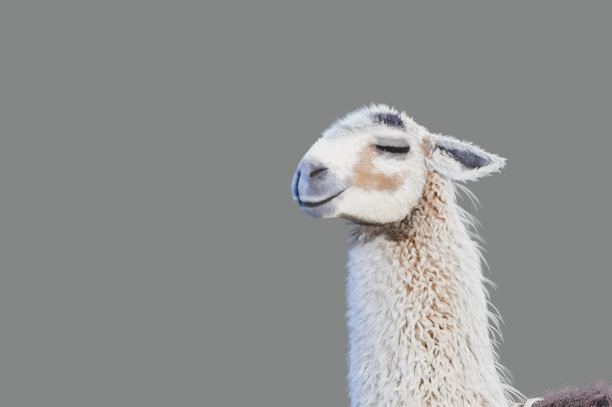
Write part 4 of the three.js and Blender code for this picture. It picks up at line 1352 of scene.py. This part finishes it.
def ear_lie(p, normal):
    sign, _, level, cup = ear_sides(p, normal)
    frames = [ear_frame(s) for s in (-1, 1)]
    left = (sign < 0)[:, None]
    along, across = (np.where(left, frames[0][k], frames[1][k]) for k in (1, 3))
    inward = cup * np.where(level < 0, 1.1 * step(-level, 0.1, 0.6), -0.3)
    return along + inward[:, None] * across


def ear_style(p, normal, draw):
    _, share, level, cup = ear_sides(p, normal)
    rim = step(np.abs(level), 0.6, 0.95)
    fringe = cup * step(-level, 0.15, 0.7) * fall(share, 0.85, 1)
    deep = cup * fall(share, 0.3, 0.45)
    loose = draw.exponential(1, len(p)).clip(0, 3)
    return dict(
        length=9 + 5 * rim + 8 * cup + 8 * fringe + 6 * deep,
        rise=1.6 + 3 * rim + 2 * cup + 5 * fringe + 5 * deep,
        stand=1.0 + 5 * rim + 1.5 * cup + 1 * fringe + 4 * deep + loose * (0.2 + 2.5 * rim),
        wave=0.6, waves=0.8, width=1.6 + 0.7 * cup, lock=2.2, clump=0.6, frizz=0.4 + 1.0 * rim,
        tone=0.5, fleck=0.3 * rim + 0.7 * fringe + 0.12 * cup * (1 - fringe), scatter=0.25,
        rings=2, sunk=0.8,
    )


def everywhere(p, normal):
    return np.ones(len(p))


def hanging(p, normal):
    return np.tile([0.1, 0.0, -1.0], (len(p), 1))


coat(
    "face_hair", ["head"], face_weight, head_lie, head_style,
    locks=12000, each=3, seed=101, pieces=2, flat=0.35,
)
coat(
    "neck_wool", ["neck"], neck_weight, neck_lie, neck_style,
    locks=2600, each=7, seed=102, pieces=2,
)
coat(
    "chest_wool", ["neck"], chest_weight, neck_lie, chest_style,
    locks=950, each=5, seed=108,
)
coat(
    "nape_wisps", ["neck"], wisp_weight, wisp_lie, wisp_style,
    locks=60, each=3, seed=109,
)
coat(
    "body_fleece", ["torso"] + LEG_NAMES, body_weight, body_lie, body_style,
    locks=2120, each=7, seed=103, pieces=2,
)
coat(
    "tail_fleece", ["tail"], everywhere, hanging, tail_style,
    locks=170, each=6, seed=104,
)
coat(
    "leg_wool", LEG_NAMES, leg_wool_weight, hanging, leg_wool_style,
    locks=400, each=5, seed=105,
)
coat(
    "leg_hair", LEG_NAMES, leg_hair_weight, hanging, leg_hair_style,
    locks=2800, each=3, seed=107, flat=0.4,
)
coat(
    "ear_hair", EAR_NAMES, everywhere, ear_lie, ear_style,
    locks=2900, each=3, seed=106, flat=0.4,
)

LASH_SEED, LASH_ROWS, LASHES_EACH = 201, 4, 78
LASH_WIDTH, LASH_FROM, LASH_TO = 1.15, -24, 43


def lashes(name, sign):
    """Rows of thick black lashes that hang from the upper lid over the slit."""
    draw = np.random.default_rng(LASH_SEED)
    forward = np.tile(np.linspace(LASH_FROM, LASH_TO, LASHES_EACH), LASH_ROWS)
    forward = forward + draw.normal(0, 0.8, len(forward))
    row = np.repeat(np.arange(LASH_ROWS), LASHES_EACH)
    upper, lower, along = slit_edges(forward)
    here = np.flatnonzero((skin_points[:, 1] * sign > 30) & on_head)
    near = skin_points[here]
    height = upper + 0.8 + 0.9 * row
    ahead = near[None, :, 0] + forward[:, None]
    above = near[None, :, 2] - EYE_HEIGHT - height[:, None]
    root = near[(ahead**2 + above**2).argmin(1)]
    normal = plain([0.0, float(sign), 0.0], root)
    ends = (1 - 0.6 * step(along, 0.6, 1.0)) * (1 + 0.2 * hump(forward + 2, 18))
    reach = (upper - lower + 4.6 + 0.9 * row) * ends * draw.uniform(0.78, 1.15, len(root))
    lean = 0.12 - 0.014 * (forward - SLIT_MIDDLE) + draw.normal(0, 0.16, len(root))
    way = unit(np.stack([lean, np.zeros(len(root)), -np.ones(len(root))], -1))
    style = dict(
        length=reach, rise=5.0 + draw.normal(0, 0.6, len(root)),
        stand=3.4 + 0.8 * row + draw.normal(0, 0.9, len(root)), waves=np.zeros(len(root)),
        phase=np.zeros(len(root)), wave=np.zeros(len(root)), rings=3, sunk=1.0,
    )
    line = courses(root, normal, way, style, np.ones(len(root)))
    dark = plain(LASH_BLACK, root)
    width, tone = np.full(len(root), LASH_WIDTH), np.ones(len(root))
    uv = chart(root, regions_of(root))
    return hair_mesh(f"lashes_{name}", line, normal, width, dark, dark, tone, uv, 0.8)


# ---- Materials ----
def material(name, roughness, sheen=0.0):
    """A new material, its tree and its shader."""
    made = bpy.data.materials.new(name)
    made.use_nodes = True
    shader = made.node_tree.nodes["Principled BSDF"]
    shader.inputs["Roughness"].default_value = roughness
    shader.inputs["Sheen Weight"].default_value = sheen
    shader.inputs["Sheen Roughness"].default_value = 0.5
    shader.inputs["Specular IOR Level"].default_value = 0.3
    return made, made.node_tree, shader


def tree_noise(tree, scale, detail, stretch=(1, 1, 1)):
    """Noise in the object's own space, stretched by a mapping."""
    space = tree.nodes.new("ShaderNodeTexCoord")
    mapping = tree.nodes.new("ShaderNodeMapping")
    mapping.inputs["Scale"].default_value = stretch
    noise = tree.nodes.new("ShaderNodeTexNoise")
    noise.inputs["Scale"].default_value = scale
    noise.inputs["Detail"].default_value = detail
    tree.links.new(space.outputs["Object"], mapping.inputs["Vector"])
    tree.links.new(mapping.outputs["Vector"], noise.inputs["Vector"])
    return noise


def coat_paint(tree, shader, scale, depth, stretch=(1, 1, 1)):
    """The painted colour, broken up by light and dark in the hair."""
    attribute = tree.nodes.new("ShaderNodeAttribute")
    attribute.attribute_name = "coat"
    noise = tree_noise(tree, scale, 3, stretch)
    ramp = tree.nodes.new("ShaderNodeMapRange")
    ends = {"From Min": 0.3, "From Max": 0.7, "To Min": 1 - depth, "To Max": 1 + depth * 0.4}
    for socket, value in ends.items():
        ramp.inputs[socket].default_value = value
    mix = tree.nodes.new("ShaderNodeVectorMath")
    mix.operation = "MULTIPLY"
    tree.links.new(noise.outputs["Fac"], ramp.inputs["Value"])
    tree.links.new(attribute.outputs["Color"], mix.inputs[0])
    tree.links.new(ramp.outputs["Result"], mix.inputs[1])
    tree.links.new(mix.outputs["Vector"], shader.inputs["Base Color"])


def two_tones(tree, shader, noise, dark, light):
    """A colour that runs from dark to light with the noise."""
    ramp = tree.nodes.new("ShaderNodeValToRGB")
    for element, tone in zip(ramp.color_ramp.elements, (dark, light)):
        element.color = (*tone, 1)
    tree.links.new(noise.outputs["Fac"], ramp.inputs["Fac"])
    tree.links.new(ramp.outputs["Color"], shader.inputs["Base Color"])


def add_bump(tree, shader, noise, strength, distance):
    bump = tree.nodes.new("ShaderNodeBump")
    bump.inputs["Strength"].default_value = strength
    bump.inputs["Distance"].default_value = distance
    tree.links.new(noise.outputs["Fac"], bump.inputs["Height"])
    tree.links.new(bump.outputs["Normal"], shader.inputs["Normal"])


def skin_material(name, scale, stretch, strength, distance, depth):
    """Dense underfur: streaks along the lie of the hair, or lumps of wool."""
    made, tree, shader = material(name, 0.85, 0.03)
    coat_paint(tree, shader, scale * 0.6, depth, stretch)
    add_bump(tree, shader, tree_noise(tree, scale, 5, stretch), strength, distance)
    return made


def hair_material(name, roughness, sheen, scale, depth):
    made, tree, shader = material(name, roughness, sheen)
    coat_paint(tree, shader, scale, depth)
    add_bump(tree, shader, tree_noise(tree, 900, 2), 0.25, 0.0006)
    return made


def eye_material():
    made, tree, shader = material("wet dark eye", 0.08)
    shader.inputs["Specular IOR Level"].default_value = 0.5
    shader.inputs["Coat Weight"].default_value = 1.0
    two_tones(tree, shader, tree_noise(tree, 160, 2), (0.004, 0.003, 0.003), (0.02, 0.012, 0.008))
    return made


def lash_material():
    made, tree, shader = material("black lashes", 0.7)
    shader.inputs["Specular IOR Level"].default_value = 0.15
    coat_paint(tree, shader, 300, 0.4)
    return made


def horn_material():
    made, tree, shader = material("dark horn", 0.4)
    noise = tree_noise(tree, 90, 5, (0.3, 1, 2.5))
    two_tones(tree, shader, noise, srgb(34, 28, 26), srgb(84, 70, 60))
    add_bump(tree, shader, noise, 0.4, 0.001)
    return made


# Each finish of the skin: name, scale and stretch of its streaks, strength and depth of the relief,
# and depth of the shade.
for finish in (
    ("velvet face", 520, (0.22, 1, 1), 0.9, 0.0016, 0.14),
    ("matted underwool", 150, (1, 1, 0.5), 1.0, 0.006, 0.35),
    ("short leg hair", 520, (1, 1, 0.16), 0.9, 0.0016, 0.2),
):
    skin.data.materials.append(skin_material(*finish))
FACE_FINISH, WOOL_FINISH, LEG_FINISH = range(3)
looks = np.full(len(REGIONS), WOOL_FINISH, np.int32)
looks[among(range(len(REGIONS)), ["head"] + EAR_NAMES)] = FACE_FINISH
looks[among(range(len(REGIONS)), LEG_NAMES)] = LEG_FINISH
skin.data.polygons.foreach_set("material_index", looks[middle_regions])
WOOL_LOOK = hair_material("soft crimped wool", roughness=0.85, sheen=0.04, scale=120, depth=0.14)
FLEECE_LOOK = hair_material("brown crinkled fleece", roughness=0.8, sheen=0.05, scale=70, depth=0.3)
HAIR_LOOK = hair_material("short face hair", roughness=0.75, sheen=0.03, scale=160, depth=0.14)
for obj in COAT:
    look = HAIR_LOOK if obj.name.startswith(("face", "ear", "leg")) else WOOL_LOOK
    obj.data.materials.append(FLEECE_LOOK if obj.name.startswith(("body", "tail")) else look)

FLESH = ["head", "jaw", "neck", "chest", "barrel", "rump", "tail", *EAR_NAMES]
FLESH += [f"{leg}_{part}" for leg in LEGS for part in ("upper_leg", "shank", "foot")]
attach(skin, "root")
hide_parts(*FLESH)

# ---- Eyes, lashes and nails ----
EYE_LOOK, HORN_LOOK = eye_material(), horn_material()
LASH_LOOK = lash_material()
for name, sign in SIDES.items():
    fringe = lashes(name, sign)
    fringe.data.materials.append(LASH_LOOK)
    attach(fringe, "root")
    centre = place(0, sign * EYE_SIDE, EYE_HEIGHT - 1)
    eye = give_object(ball(centre, (EYE_RADIUS,) * 3, 48, 32), f"eyeball_{name}")
    eye.data.materials.append(EYE_LOOK)
    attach(eye, "root")
    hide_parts(f"eye_{name}")

for leg_name, leg in LEGS.items():
    for name, inner in SIDES.items():
        side = leg["sign"] * LEG_SPREAD + inner * NAIL_APART
        centre = place(leg["foot"] + TOE_SIZE[0] / 2 + 1, side, NAIL_HEIGHT)
        horn = give_object(claw(centre), f"{leg_name}_horn_{name}")
        horn.data.materials.append(HORN_LOOK)
        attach(horn, "root")
        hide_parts(f"{leg_name}_nail_{name}")


# ---- Floor, light and camera, in metres ----
FLOOR_RADIUS, FLOOR_DROP = 4.0, 0.0005

# Each light: its place and aim from the point on the floor under the eyes, its size, power and colour.
LIGHTS = {
    "key": ((0.2, -3.8, 3.2), (0, 0, 1.4), 2.2, 860, (1.0, 0.96, 0.9)),
    "sky": ((0.6, 0.6, 4.2), (0, 0, 1.2), 3.0, 380, (0.86, 0.93, 1.0)),
    "front rim": ((-3.0, 2.0, 2.0), (0, 0, 1.4), 1.6, 760, (0.3, 0.56, 1.0)),
    "fill": ((3.0, -3.0, 1.8), (0, 0, 1.0), 3.0, 150, (1.0, 0.97, 0.93)),
    "far fill": ((2.6, 3.4, 2.4), (0.6, 0, 1.0), 3.0, 200, (0.97, 0.98, 1.0)),
}
BACKGROUND_GREY = (0.235, 0.245, 0.24, 1)


def floor_disc():
    bm = bmesh.new()
    bmesh.ops.create_circle(bm, cap_ends=True, radius=FLOOR_RADIUS, segments=96)
    floor = give_object(bm, "floor")
    made, tree, shader = material("pale studio floor", 0.9)
    two_tones(tree, shader, tree_noise(tree, 12, 4), (0.42, 0.415, 0.41), (0.47, 0.465, 0.46))
    floor.data.materials.append(made)
    floor.location.z = -FLOOR_DROP


def soft_light(name, offset, aim_offset, size, power, colour):
    light = bpy.data.lights.new(name, "AREA")
    light.shape, light.size, light.energy, light.color = "DISK", size, power, colour
    obj = bpy.data.objects.new(name, light)
    location = Vector((eye_x + offset[0], *offset[1:]))
    target = Vector((eye_x + aim_offset[0], *aim_offset[1:]))
    obj.location = location
    obj.rotation_euler = (target - location).to_track_quat("-Z", "Y").to_euler()
    bpy.context.scene.collection.objects.link(obj)


eye_x = ORIGIN[0]
floor_disc()
for light_name, light_values in LIGHTS.items():
    soft_light(light_name, *light_values)

world = bpy.data.worlds.new("studio")
bpy.context.scene.world = world
world.use_nodes = True
surround = world.node_tree.nodes["Background"]
surround.inputs["Color"].default_value = BACKGROUND_GREY
surround.inputs["Strength"].default_value = 1.0

# The camera's side of the llama and distance, the width that it sees there, and the width of its
# sensor in millimetres. It aims to the left of the near lid and below it.
AZIMUTH = math.radians(-27)
DISTANCE = 5.0
PICTURE_WIDTH = 1.224
SENSOR = 36
NEAR_LID = -0.065
AIM_LEFT, AIM_DOWN = 0.182, 0.107
right = Vector((math.cos(AZIMUTH), math.sin(AZIMUTH), 0))
back = Vector((math.sin(AZIMUTH), -math.cos(AZIMUTH), 0))
eye_point = Vector((eye_x, NEAR_LID, EYE_HEIGHT * MM))
aim = eye_point - right * AIM_LEFT - Vector((0, 0, AIM_DOWN))
camera_data = bpy.data.cameras.new("camera")
camera_data.sensor_width = SENSOR
camera_data.lens = SENSOR * DISTANCE / PICTURE_WIDTH
camera = bpy.data.objects.new("camera", camera_data)
camera.location = aim + back * DISTANCE
camera.rotation_euler = (-back).to_track_quat("-Z", "Y").to_euler()
bpy.context.scene.collection.objects.link(camera)
bpy.context.scene.camera = camera
